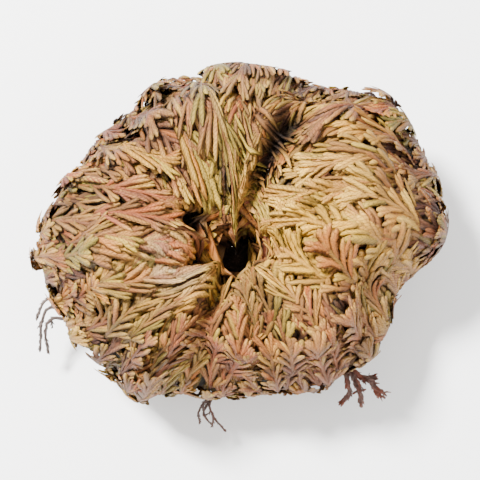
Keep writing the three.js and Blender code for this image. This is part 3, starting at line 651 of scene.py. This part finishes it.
class Finish:
    # A node tree with short ways to fill it. feed() gives a socket a value or a link. add() makes one node with
    # its inputs and settings and gives back one of its outputs, or the node itself where output is None. The
    # others build on it: sums and products, smooth ramps, colours, what a point of the mesh knows, and effects.
    def __init__(self, tree):
        self.tree = tree

    def feed(self, socket, value):
        if isinstance(value, bpy.types.NodeSocket):
            self.tree.links.new(value, socket)
        else:
            socket.default_value = value

    def add(self, kind, inputs=None, output=0, **settings):
        node = self.tree.nodes.new("ShaderNode" + kind)
        for key, value in settings.items():
            setattr(node, key, value)
        for key, value in (inputs or {}).items():
            self.feed(node.inputs[key], value)
        return node.outputs[output] if output is not None else node

    def calc(self, operation, *values, clamp=False):        # one Math node
        return self.add("Math", dict(enumerate(values)), operation=operation, use_clamp=clamp)

    def times(self, *values):
        product = values[0]
        for value in values[1:]:
            product = self.calc("MULTIPLY", product, value)
        return product

    def remap(self, value, low, high, newLow=0.0, newHigh=1.0):
        # A smooth S from newLow, at low and below, to newHigh, at high and above.
        inputs = dict(enumerate((value, low, high, newLow, newHigh)))
        return self.add("MapRange", inputs, interpolation_type="SMOOTHSTEP")

    def between(self, value, low, high):        # the same from 0 to 1
        return self.remap(value, 0.0, 1.0, low, high)

    def blend(self, amount, first, second, how="MIX"):
        # A shade of three numbers is taken as it looks on a screen.
        first, second = (pigment(*c) if isinstance(c, tuple) else c for c in (first, second))
        return self.add("Mix", {0: amount, 6: first, 7: second}, 2, data_type="RGBA", blend_type=how)

    def lit(self, colour, light):        # the colour times a number
        return self.blend(1.0, colour, self.add("CombineColor", dict.fromkeys(range(3), light)), "MULTIPLY")

    def noise(self, vector, scale, detail, roughness=0.5):        # 0 to 1, mostly near a half
        return self.add("TexNoise", {"Vector": vector, "Scale": scale, "Detail": detail, "Roughness": roughness})

    def join(self, *values):        # numbers into a vector
        return self.add("CombineXYZ", dict(enumerate(values)))

    def read(self, *names):        # the mesh's named values
        return [self.add("Attribute", None, "Fac", attribute_name=name) for name in names]

    def path(self):        # length along a branchlet in mm, share of the way round it
        return self.add("UVMap", uv_map="UVMap")

    def position(self):        # in metres, in the plant's own frame
        return self.add("TexCoord", None, "Object")

    def effect(self, group, **inputs):        # a shared effect's outputs
        return self.add("Group", inputs, None, node_tree=group).outputs

    def ramp(self, value, stops):
        # A ramp through the given colours at the given places.
        node = self.add("ValToRGB", {0: value}, None)
        while len(node.color_ramp.elements) < len(stops):
            node.color_ramp.elements.new(0.5)
        for element, (at, colour) in zip(node.color_ramp.elements, stops):
            element.position, element.color = at, pigment(*colour)
        return node.outputs[0]

    def giveOut(self, **results):
        # Ends an effect: an output of its own for each named value.
        for name in results:
            self.tree.interface.new_socket(name, in_out="OUTPUT", socket_type="NodeSocketFloat")
        out = self.tree.nodes.new("NodeGroupOutput")
        for name, value in results.items():
            self.feed(out.inputs[name], value)
        return self.tree

    def cover(self, material, colour, roughness, height, relief):
        # Ends a material: what its shader takes, and a relief of this depth and strength.
        normal = self.add("Bump", {"Height": height, "Distance": relief[0], "Strength": relief[1]})
        for name, value in (("Base Color", colour), ("Roughness", roughness), ("Normal", normal)):
            self.feed(self.tree.nodes["Principled BSDF"].inputs[name], value)
        return material


def newEffect(name, **inputs):
    # An effect that several finishes share. An input without a number is a vector.
    tree = bpy.data.node_groups.new(name, "ShaderNodeTree")
    for label, value in inputs.items():
        kind = "NodeSocketVector" if value is None else "NodeSocketFloat"
        socket = tree.interface.new_socket(label, in_out="INPUT", socket_type=kind)
        if value is not None:
            socket.default_value = value
    return Finish(tree), tree.nodes.new("NodeGroupInput").outputs


def newMaterial(name, specular):
    # A material with its shader's shine set, and the Finish that adds nodes to it.
    material = bpy.data.materials.new(name)
    material.use_nodes = True
    material.node_tree.nodes["Principled BSDF"].inputs["Specular IOR Level"].default_value = specular
    return material, Finish(material.node_tree)


def makeScaleLeaves():
    # Scale leaves in two rows on each face of a branchlet, half a step apart, like a braid. The path's U is the
    # length along it in mm and V the way round it. Each scale rises towards its free tip and drops to the next.
    nodes, given = newEffect("scaleLeaves", Path=None, Pitch=0.7, Slant=0.5, Seed=0.0)
    run, turn, _ = nodes.add("SeparateXYZ", {0: given["Path"]}, None).outputs
    fromMiddle = nodes.times(nodes.calc("PINGPONG", nodes.calc("ADD", turn, 0.25), 0.25), 4.0)
    row = nodes.calc("FLOOR", nodes.times(turn, 4.0))
    step = nodes.calc("DIVIDE", run, given["Pitch"])
    step = nodes.calc("SUBTRACT", step, nodes.times(fromMiddle, given["Slant"]))
    step = nodes.calc("MULTIPLY_ADD", row, 0.5, step)
    rise = nodes.calc("FRACT", step)
    fall = nodes.remap(rise, 0.86, 1.0, 1.0, 0.0)
    cell = nodes.join(nodes.calc("FLOOR", step), row, given["Seed"])
    return nodes.giveOut(Height=nodes.times(nodes.calc("POWER", rise, 0.7), fall),
                         Groove=nodes.calc("SUBTRACT", 1.0, nodes.times(fall, nodes.remap(rise, 0.0, 0.2))),
                         Tone=nodes.add("TexWhiteNoise", {0: cell}))


def makeStrandGrain():
    # Fine streaks along a branchlet, different on each one by its seed.
    nodes, given = newEffect("strandGrain", Path=None, Seed=0.0, Length=3.0)
    run, turn, _ = nodes.add("SeparateXYZ", {0: given["Path"]}, None).outputs
    angle = nodes.times(turn, fullTurn)
    place = nodes.join(nodes.calc("DIVIDE", run, given["Length"]), nodes.calc("SINE", angle),
                       nodes.calc("COSINE", angle))
    shifted = nodes.add("VectorMath", {0: place, 1: nodes.times(given["Seed"], 37.0)}, operation="ADD")
    return nodes.giveOut(Streak=nodes.remap(nodes.noise(shifted, 2.2, 3.0, 0.6), 0.3, 0.7))


def makeWeathering():
    # Irregular patches over the whole plant, in object coordinates, and a finer dust: size in mm.
    nodes, given = newEffect("weathering", Position=None, Size=6.0)
    scale = nodes.calc("DIVIDE", 1000.0, given["Size"])
    patch = nodes.noise(given["Position"], scale, 2.5)
    dust = nodes.noise(given["Position"], nodes.times(scale, 9.0), 4.0)
    return nodes.giveOut(Patch=nodes.remap(patch, 0.36, 0.64), Dust=nodes.remap(dust, 0.52, 0.75))


def makeTintZone():
    # 1 at the zone's centre, falling smoothly to 0 at its radius.
    nodes, given = newEffect("tintZone", Position=None, Centre=None, Radius=0.01)
    away = nodes.add("VectorMath", {0: given["Position"], 1: given["Centre"]}, "Value", operation="DISTANCE")
    return nodes.giveOut(Mask=nodes.remap(nodes.calc("DIVIDE", away, given["Radius"]), 0.35, 1.0, 1.0, 0.0))


scaleLeaves, strandGrain = makeScaleLeaves(), makeStrandGrain()
weathering, tintZone = makeWeathering(), makeTintZone()

# Fronds: dry shades that each spray takes one of, and zones of another shade: mostly where the plant tends to it,
# and on the north-west and south-east sides painted light that evens out the key lamp.
frondShades = {
    "outer_fronds": [(0.0, (80, 48, 38)), (0.35, (118, 78, 51)), (0.65, (149, 105, 56)), (1.0, (177, 137, 68))],
    "middle_fronds": [(0.0, (98, 57, 38)), (0.32, (143, 89, 47)), (0.62, (172, 120, 51)), (1.0, (196, 151, 64))],
    "inner_fronds": [(0.0, (110, 61, 36)), (0.32, (157, 97, 45)), (0.62, (182, 126, 49)), (1.0, (203, 157, 62))],
    "heart_fronds": [(0.0, (76, 38, 20)), (0.35, (118, 62, 26)), (0.7, (150, 98, 32)), (1.0, (174, 130, 42))],
}
accentShades = [(0.0, (136, 62, 38)), (0.22, (188, 92, 20)), (0.42, (162, 144, 40)), (0.6, (106, 98, 26)),
                (0.8, (146, 74, 54)), (1.0, (80, 47, 31))]        # russet, orange, straw, olive, rose, brown
tintZones = [        # centre in mm, radius in mm, shade, strength
    # Painted light: the dark north-west zone and the two south-east zones even out the key lamp, which lights the
    # plant from the north-west.
    ((-6, 27, 40), 19, (102, 66, 46), 0.85), ((17, -30, 27), 16, (118, 74, 52), 0.85),
    ((-24, 25, 36), 16, (78, 50, 30), 0.92), ((17, -3, 44), 15, (222, 166, 48), 0.85),
    ((34, 22, 36), 16, (124, 72, 32), 0.9), ((-2, -20, 42), 14, (156, 92, 34), 0.65),
    ((21, -20, 38), 15, (150, 94, 58), 0.8), ((-13, -6, 45), 10, (164, 140, 100), 0.85),
    ((-20, -30, 24), 13, (110, 74, 44), 0.6), ((44, -6, 24), 15, (130, 84, 50), 0.6),
    ((-30, 6, 42), 15, (138, 94, 46), 0.8), ((0, 8, 34), 8, (112, 58, 30), 0.75),
]
frondSurface = {
    "scalePitch": 0.85, "ribPitch": 1.7, "scaleSlant": 0.6, "relief": (0.00022, 1.0),
    "specular": 0.3, "roughness": (0.62, 0.95), "patchSize": 7.0,
    "frondShare": 0.35, "sprayShare": 0.65, "patchShare": 0.35, "branchletShare": 0.25, "shadeLess": 0.3,
    "accents": [(1, 7.3, 0.66), (0, 5.1, 0.5)],        # by spray and by branchlet: which, spread, strength
    # Painted shade: the first colour on the next line is what the scale grooves and the low, covered growth are
    # blended towards, with the groove and deep strengths below.
    "paintedShadeColour": (26, 15, 8), "ribShade": (146, 64, 42), "tipShade": (206, 168, 74),
    "braid": 0.7, "tipPale": 0.4, "grooveShade": 0.5, "deep": 0.96, "streakRelief": 0.35,
    "lightBy": {"tone": (0.76, 1.12), "grow": (0.62, 1.0), "streak": (0.86, 1.08), "scale": (0.9, 1.08)},
}


def frondMaterial(slot):
    # The fronds of one whorl: one node tree for all, with the whorl's own shades.
    look = frondSurface
    material, nodes = newMaterial(slot.replace("_f", "F"), look["specular"])
    path, position = nodes.path(), nodes.position()
    tone, hue, grow, axis, deep, whole = nodes.read("tone", "hue", "grow", "axis", "deep", "frondTone")
    pitch = nodes.remap(axis, 0.6, 1.0, look["scalePitch"], look["ribPitch"])
    scales = nodes.effect(scaleLeaves, Path=path, Pitch=pitch, Slant=look["scaleSlant"], Seed=tone)
    streak = nodes.effect(strandGrain, Path=path, Seed=tone)["Streak"]
    patch = nodes.effect(weathering, Position=position, Size=look["patchSize"])["Patch"]

    # The shade of each branchlet: its spray's own, shifted by its frond and by patches, zones and accents.
    shade = nodes.calc("MULTIPLY_ADD", whole, look["frondShare"], nodes.times(hue, look["sprayShare"]))
    shade = nodes.calc("MULTIPLY_ADD", patch, look["patchShare"], shade)
    shade = nodes.calc("SUBTRACT", shade, look["shadeLess"])
    shade = nodes.calc("MULTIPLY_ADD", tone, look["branchletShare"], shade, clamp=True)
    colour = nodes.ramp(shade, frondShades[slot])
    for centre, radius, tint, strength in tintZones:
        zone = nodes.effect(tintZone, Position=position, Centre=[c * metre for c in centre], Radius=radius * metre)
        varied = nodes.times(zone["Mask"], nodes.remap(hue, 0.0, 0.8, 0.35 * strength, strength))
        colour = nodes.blend(varied, colour, tint)
    for which, spread, most in look["accents"]:
        source = (tone, hue)[which]
        pick = nodes.ramp(nodes.calc("FRACT", nodes.times(source, spread)), accentShades)
        chance = nodes.calc("FRACT", nodes.times(source, 13.7))
        colour = nodes.blend(nodes.remap(chance, 0.5, 0.8, 0.0, most), colour, pick)

    # Ribs and stems are redder and tips paler; the grooves at the scale edges and the hollows are darker with
    # painted shade, and the roots of the branchlets are darker, partly as older growth and partly as painted shade
    # under the sprays above.
    blush = nodes.times(nodes.remap(axis, 0.3, 1.0), nodes.between(patch, 0.3, 0.8))
    braid = nodes.times(nodes.remap(axis, 0.6, 1.0, 0.0, look["braid"]), nodes.remap(scales["Height"], 0.45, 0.9))
    pale = nodes.times(nodes.remap(grow, 0.72, 1.0, 0.0, look["tipPale"]), tone)
    for amount, tint in ((blush, "ribShade"), (braid, "tipShade"), (pale, "tipShade")):
        colour = nodes.blend(amount, colour, look[tint])
    # The grow factor darkens each branchlet towards its root: partly older, unbleached growth and partly painted
    # shade under the sprays above.
    by = look["lightBy"]
    light = nodes.times(nodes.between(tone, *by["tone"]), nodes.remap(grow, 0.1, 0.7, *by["grow"]),
                        nodes.between(streak, *by["streak"]), nodes.between(scales["Tone"], *by["scale"]))
    # Painted shade: the grooves between scales and the low, covered and hollow growth are blended towards a
    # near-black colour.
    paintedShade = nodes.calc("MAXIMUM", nodes.times(scales["Groove"], look["grooveShade"]), nodes.times(deep, look["deep"]))
    height = nodes.calc("MULTIPLY_ADD", streak, look["streakRelief"], scales["Height"])
    return nodes.cover(material, nodes.blend(paintedShade, nodes.lit(colour, light), look["paintedShadeColour"]),
                       nodes.between(scales["Groove"], *look["roughness"]), height, look["relief"])


# Rootstock: a short stock with the stubs of old fronds round it and a mat of roots under it.
rootstock = {
    "profile": [(0, 0), (8.2, 0), (8.9, 1.1), (7.4, 2.0), (5.6, 2.9), (5.5, 7), (5.7, 11), (5.7, 15), (4.2, 16.6),
                (0, 17.1)],        # radius, height
    "sides": 90, "rows": 50, "fibres": 0.22, "fibreCounts": (23, 31, 41, 53, 17), "knobs": 0.45, "flutes": 0.25,
    "stubs": 90, "stubLength": (1.2, 3.0), "stubWidth": (0.9, 1.5), "stubHeights": (2.6, 14.5), "stubFrom": 5.2,
    "stubTaper": (1.2, 1.0, 0.95, 0.9, 0.7),
    "roots": 13, "rootInner": 6, "rootOuter": (11.5, 17), "rootHeight": 1.35, "rootWidth": (1.5, 0.7),
    "rootlets": 120, "rootletReach": (9, 16.5), "rootletWidth": 0.42, "rootletHeight": (0.5, 3.2), "lowest": 0.35,
    "bark": (58, 42, 32), "worn": (112, 88, 66), "dust": (146, 124, 98),
    "specular": 0.3, "patchSize": 4.0, "grain": (2600, 2600, 420), "relief": (0.0003, 0.8),
}


def growRootstock():
    # Bark-covered stock, stubs, thick roots and thin ones in one mesh.
    look = rootstock
    rng = np.random.default_rng(7)

    # The stock: its profile turned round the axis, with fine fibres along it and rows of knobs in two spirals.
    turn = np.arange(look["sides"]) * fullTurn / look["sides"]
    profile = np.array(look["profile"], float)
    run = runAlong(profile)
    at = np.linspace(1.2, run[-1] - 0.3, look["rows"])[:, None]
    r, z = (np.interp(at, run, profile[:, k]) for k in (0, 1))
    fibres = sum(np.sin(n * turn + phase + 0.15 * n * np.sin(0.5 * z)) / 5
                 for n, phase in zip(look["fibreCounts"], rng.uniform(0, 6, 5)))
    knobs = np.maximum(np.sin(8 * turn + 0.95 * z) * np.sin(5 * turn - 1.5 * z), 0)
    rough = look["fibres"] * fibres + look["knobs"] * knobs + look["flutes"] * np.sin(3 * turn + 1)
    points = polar(r + rough * smooth(1.5, 3.5, z) * smooth(0, 3, run[-1] - at), turn, z)
    poles = np.stack([points[0].mean(0), points[-1].mean(0)])
    stock = withValues(skin(points[None], poles[None], 0 * at.T), np.zeros(look["rows"]), tone=0.5)
    stock["values"]["grow"] = np.append((0.5 * knobs + 0.25 * (fibres + 1)) * 0.8, [0, 0.5])
    parts = [stock]

    def addShoots(points, halfWidth, sides):
        # Bark-covered tubes, each flattened a little in a direction of its own.
        count = len(points)
        wide = unit(np.cross(np.gradient(points, axis=1), rng.normal(0, 1, (count, 1, 3))))
        part = tubes(points, wide, halfWidth, halfWidth * rng.uniform(0.6, 0.95, (count, 1)), sides)
        parts.append(withValues(part, np.linspace(0.1, 1, points.shape[1]), tone=rng.random(count)))

    # Stubs of old fronds: short, blunt, leaning out and up, each bent a little.
    n = look["stubs"]
    azimuth, low = rng.uniform(0, fullTurn, n), rng.uniform(*look["stubHeights"], n)
    startWay = unit(polar(1, azimuth, 0) + rng.normal(0, 0.2, (n, 3)) + 0.3 * up)
    endWay = unit(startWay + rng.normal(0, 0.35, (n, 3)) + 0.7 * up)
    half = np.outer(rng.uniform(*look["stubWidth"], n) / 2, look["stubTaper"])
    length = rng.uniform(*look["stubLength"], n)
    steps = np.linspace(0, 1, len(look["stubTaper"]))
    addShoots(bentPaths(polar(look["stubFrom"], azimuth, low), startWay, endWay, length, steps), half, 6)

    def spread(azimuth, outer, bend, height, steps, wiggle):
        # Roots that run outwards over the ground, each bent to a side with a growing wiggle, and sinking.
        n, share = len(azimuth), np.linspace(0, 1, steps)
        turned = azimuth[:, None] + bend[:, None] * share ** 2
        turned = turned + wiggle * np.sin(share * rng.uniform(7, 13, (n, 1)) + rng.uniform(0, 6, (n, 1))) * share
        lift = height[:, None] * (1 - share * rng.uniform(0.2, 0.6, (n, 1)))
        return polar(mix(look["rootInner"], outer[:, None], share), turned, lift)

    # Thick roots first, then a tangle of thin ones that curl between them.
    n, steps = look["roots"], 14
    chance = np.array([[draw(k, salt) for k in range(n)] for salt in (11, 12, 13)])
    thick = spread(fullTurn * (np.arange(n) + 0.5 * chance[0]) / n, mix(*look["rootOuter"], chance[1]),
                   0.5 * (chance[2] - 0.5), np.full(n, look["rootHeight"]), steps, 0.05)
    half = np.linspace(*look["rootWidth"], steps) / 2 * (1 + 0.12 * rng.normal(0, 1, (n, steps)))
    addShoots(thick, half, 8)
    n, steps = look["rootlets"], 12
    thin = spread(rng.uniform(0, fullTurn, n), rng.uniform(*look["rootletReach"], n), rng.normal(0, 0.5, n),
                  rng.uniform(*look["rootletHeight"], n), steps, 0.16)
    thin[..., 2] = np.maximum(thin[..., 2], look["lowest"])
    half = look["rootletWidth"] / 2 * np.linspace(1.1, 0.5, steps) * rng.uniform(0.6, 1.2, (n, 1))
    addShoots(thin, half, 4)
    return makeMesh("rootstock_fibres", parts)


def rootMaterial():
    # Dark bark, worn paler on what stands out, with dust on it.
    look = rootstock
    material, nodes = newMaterial("rootBark", look["specular"])
    position = nodes.position()
    age = nodes.effect(weathering, Position=position, Size=look["patchSize"])
    fibre = nodes.noise(nodes.add("Mapping", {0: position, 3: look["grain"]}), 1.0, 5.0, 0.65)
    tone, grow = nodes.read("tone", "grow")
    worn = nodes.times(nodes.remap(grow, 0.2, 1.0), nodes.remap(fibre, 0.35, 0.65, 0.3, 1.0))
    dusty = nodes.times(age["Dust"], nodes.between(tone, 0.1, 0.6))
    colour = nodes.blend(dusty, nodes.blend(worn, look["bark"], look["worn"]), look["dust"])
    return nodes.cover(material, nodes.lit(colour, nodes.between(age["Patch"], 0.65, 1.1)),
                       nodes.between(worn, 0.95, 0.7), fibre, look["relief"])


# Dead stems: thin dry twigs that leave under the outer fronds and stick out past the rim: each a few strands
# through given points, forked near their ends, with the stubs of fallen scales along them.
deadStem = {
    "stems": [
        {"azimuth": 203, "russet": 0.1, "forks": 3, "thick": 1.3, "strands": [
            [(-42.5, -11.5, 17), (-45.4, -14.5, 15.5), (-46.6, -20.8, 11)],
            [(-42.8, -13.5, 15), (-44.9, -16.5, 13), (-45.0, -21.5, 9)],
            [(-42.0, -10.0, 19), (-44.8, -10.6, 18), (-46.8, -13.6, 15.5)],
            [(-41.5, -4.0, 21), (-44.6, -1.5, 23), (-47.6, -0.6, 22.5)]]},
        {"azimuth": 262, "russet": 0.35, "forks": 9, "thick": 1.0, "strands": [
            [(-5.6, -34.0, 14), (-5.0, -36.8, 12), (-2.4, -40.0, 8.5)],
            [(-6.6, -33.0, 15), (-8.6, -35.6, 14), (-8.4, -38.2, 11)],
            [(-5.8, -33.5, 13), (-7.4, -36.0, 11.5), (-5.6, -38.6, 9)]]},
        {"azimuth": 318, "russet": 0.9, "forks": 16, "thick": 2.0, "strands": [
            [(26.6, -26.6, 15), (28.6, -30.0, 14), (29.6, -34.4, 11)],
            [(28.0, -26.5, 16), (31.4, -28.6, 15), (33.4, -32.0, 12.5)],
            [(26.0, -27.5, 14), (26.6, -31.0, 12), (25.0, -33.4, 10)]]},
        {"azimuth": 97, "russet": 0.2, "forks": 3, "thick": 1.0, "strands": [
            [(-5.2, 43.0, 15), (-5.0, 45.2, 15.5), (-4.2, 46.6, 14.5)]]},
    ],
    "under": (0.003, 0.31), "depth": -2.15, "width": 1.05, "underSteps": 24,
    "strandWidth": (0.9, 0.5), "strandSteps": 30, "wander": 0.2, "strandSide": (0.1, 0.2, 1.0),
    "forkedStrands": 3, "forkAt": (0.45, 0.97), "forkLength": (1.6, 3.6), "forkWidth": 0.55, "forkSteps": 8,
    "scalesPerMm": 3.5, "fewerUnder": 0.4, "scaleLength": (0.5, 1.0), "scaleWidth": 0.4, "lowest": 0.1,
    "shades": [(0.0, (50, 44, 42)), (0.5, (78, 70, 66)), (1.0, (120, 110, 102))],
    "russet": (112, 58, 42), "lichen": (140, 136, 124), "lichenMost": 0.3,
    "specular": 0.3, "patchSize": 3.5, "streakLength": 2.0, "relief": (0.0001, 0.7),
}


def growDeadStem(number):
    # One stem: its run under the fronds, its strands, their forks and the scale stubs on them.
    look, stem = deadStem, deadStem["stems"][number]
    rng = np.random.default_rng(500 + number)
    parts, thick = [], stem["thick"]

    def addTwigs(points, wide, half, flatness, sides, tone, grow, axis):
        # Tubes that never go below the ground.
        part = tubes(points, wide, half, half * flatness, sides)
        part["corners"][..., 2] = np.maximum(part["corners"][..., 2], look["lowest"])
        parts.append(withValues(part, grow, tone=tone, hue=stem["russet"], axis=axis))

    # Along the ring's section below the outer fronds, from the rootstock to where the strands part.
    n = look["underSteps"]
    under = bodyPoint(np.linspace(*look["under"], n), np.full(n, math.radians(stem["azimuth"])), look["depth"])
    half = look["width"] / 2 * (1 + 0.08 * rng.normal(0, 1, n))
    addTwigs(under[None], up, half[None], 0.85, 8, 0.4, np.linspace(0, 0.5, n), 1)

    # The strands, each a little crooked, then the forks that leave them, each bent.
    count, n = len(stem["strands"]), look["strandSteps"]
    steps = np.linspace(0, 1, n)[:, None]
    strands = np.array([throughRows([under[-3], under[-1], *points], np.linspace(0, len(points) + 1, n))
                        for points in stem["strands"]])
    crook = np.cumsum(rng.normal(0, look["wander"], (count, n, 3)), 1)
    strands = strands + 0.5 * np.sin(steps * math.pi) * (crook - steps * crook[:, -1:])
    half = thick * mix(*look["strandWidth"], steps.T) / 2 * (1 + 0.1 * rng.normal(0, 1, (count, n)))
    addTwigs(strands, look["strandSide"], half, 0.85, 7, rng.random(count), np.linspace(0.4, 1, n), 1)
    owner = rng.integers(0, min(count, look["forkedStrands"]), stem["forks"])
    at = (rng.uniform(*look["forkAt"], stem["forks"]) * (n - 2)).astype(int)
    start = strands[owner, at]
    way = unit(unit(strands[owner, at + 1] - start) + rng.normal(0, 0.55, start.shape))
    bend = unit(way + rng.normal(0, 0.75, start.shape))
    length = rng.uniform(*look["forkLength"], len(owner))
    forks = bentPaths(start, way, bend, length, np.linspace(0, 1, look["forkSteps"]))
    half = np.linspace(1.1, 0.6, look["forkSteps"]) * rng.uniform(0.7, 1.2, (len(owner), 1))
    addTwigs(forks, unit(np.cross(way, look["strandSide"]))[:, None], thick * look["forkWidth"] / 2 * half, 0.8, 6,
             rng.random(len(owner)), np.linspace(0.5, 1, look["forkSteps"]), 0.5)

    # Scale stubs all along, pressed to the twigs and pointing forward.
    for line in [under, *strands, *forks]:
        run = runAlong(line)
        n = max(int(run[-1] * look["scalesPerMm"] * (look["fewerUnder"] if line is under else 1)), 2)
        at = rng.uniform(0, run[-1], n)
        place, ahead = (np.stack([np.interp(at + by, run, line[:, k]) for k in range(3)], -1) for by in (0, 0.3))
        far = np.linalg.norm(ahead - place, axis=-1, keepdims=True) > 0.02
        forward = unit(np.where(far, ahead - place, line[-1] - line[-2]))
        away = unit(np.cross(forward, rng.normal(0, 1, (n, 3))))
        length = thick * rng.uniform(*look["scaleLength"], n)
        scales = bentPaths(place, unit(forward * 0.8 + away), unit(forward + away * 0.15), length,
                           np.array([0, 0.5, 1.0]))
        half = thick * look["scaleWidth"] / 2 * np.array([0.7, 1.0, 0.4]) * rng.uniform(0.7, 1.2, (n, 1))
        addTwigs(scales, np.cross(forward, away)[:, None], half, 0.4, 4, rng.random(n), [0.3, 0.6, 1.0], 0)
    return makeMesh(f"dead_stem_{number + 1}_twigs", parts)


def deadStemMaterial():
    # Streaked grey-brown wood, russet by stem, with lichen on it.
    look = deadStem
    material, nodes = newMaterial("deadTwigs", look["specular"])
    tone, hue, grow = nodes.read("tone", "hue", "grow")
    streak = nodes.effect(strandGrain, Path=nodes.path(), Seed=tone, Length=look["streakLength"])["Streak"]
    age = nodes.effect(weathering, Position=nodes.position(), Size=look["patchSize"])
    colour = nodes.ramp(nodes.calc("MULTIPLY_ADD", streak, 0.45, nodes.times(tone, 0.55)), look["shades"])
    colour = nodes.blend(nodes.times(hue, nodes.between(age["Patch"], 0.4, 1.0)), colour, look["russet"])
    colour = nodes.blend(nodes.times(age["Dust"], look["lichenMost"]), colour, look["lichen"])
    return nodes.cover(material, colour, nodes.between(grow, 0.75, 0.92), streak, look["relief"])


pieces = []


def fit(piece, node, material):
    # The piece takes its CAD node's place, its slot and its finish.
    piece.data.materials.append(material)
    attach(piece, "root")
    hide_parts(node)
    pieces.append(piece.data)


def trianglesGrown():
    # A face with n corners makes n - 2 triangles.
    return sum(len(mesh.loops) - 2 * len(mesh.polygons) for mesh in pieces)


for level, row in enumerate(whorls):
    slot = row["name"] + "s"
    finish = frondMaterial(slot)
    for number in range(row["count"]):
        fit(growFrond(level, number), f"{row['name']}_{number + 1:02d}", finish)
    print(row["name"], "whorl grown,", trianglesGrown(), "triangles so far")

fit(growRootstock(), "rootstock", rootMaterial())
twigFinish = deadStemMaterial()
for number in range(len(deadStem["stems"])):
    fit(growDeadStem(number), f"dead_stem_{number + 1}", twigFinish)
print("rootstock and dead stems grown,", trianglesGrown(), "triangles in all")


# Floor, light and camera.
studio = {
    "floorSize": 1.6, "floorShade": (247, 247, 246), "floorRoughness": 0.9, "floorSpecular": 0.1, "sky": 1.4,
    "aim": (0.001, 0.003, 0.024), "lens": 85, "elevation": 78, "distance": 0.262,
    "lamps": [("key", (-0.24, 0.16, 0.52), 0.1, 16.8), ("fill", (0.4, -0.3, 0.45), 0.5, 3.0)],
}


def addAimed(name, data, place):
    # A lamp or camera at its place, turned towards the studio's aim.
    holder = addObject(name, data)
    holder.location = place
    holder.rotation_euler = (Vector(place) - Vector(studio["aim"])).to_track_quat("Z", "Y").to_euler()
    return holder


def makeStudio():
    # A pale floor, an even sky, two lamps and a camera that looks down on the plant.
    mesh = bpy.data.meshes.new("floor")
    half = studio["floorSize"] / 2
    mesh.from_pydata([(-half, -half, 0), (half, -half, 0), (half, half, 0), (-half, half, 0)], [], [(0, 1, 2, 3)])
    finish, nodes = newMaterial("paleFloor", studio["floorSpecular"])
    shader = nodes.tree.nodes["Principled BSDF"].inputs
    shader["Base Color"].default_value = pigment(*studio["floorShade"])
    shader["Roughness"].default_value = studio["floorRoughness"]
    mesh.materials.append(finish)
    addObject("floor", mesh)

    world = bpy.data.worlds.new("softSky")
    world.use_nodes = True
    sky = world.node_tree.nodes["Background"].inputs
    sky["Color"].default_value, sky["Strength"].default_value = (1, 1, 1, 1), studio["sky"]
    bpy.context.scene.world = world
    for name, place, size, power in studio["lamps"]:
        lamp = bpy.data.lights.new(name, "AREA")
        lamp.energy, lamp.size = power, size
        addAimed(name, lamp, place)

    rise = math.radians(studio["elevation"])
    back = Vector((0, -math.cos(rise), math.sin(rise))) * studio["distance"]
    lens = bpy.data.cameras.new("camera")
    lens.lens = studio["lens"]
    bpy.context.scene.camera = addAimed("camera", lens, Vector(studio["aim"]) + back)


makeStudio()
print("studio set")
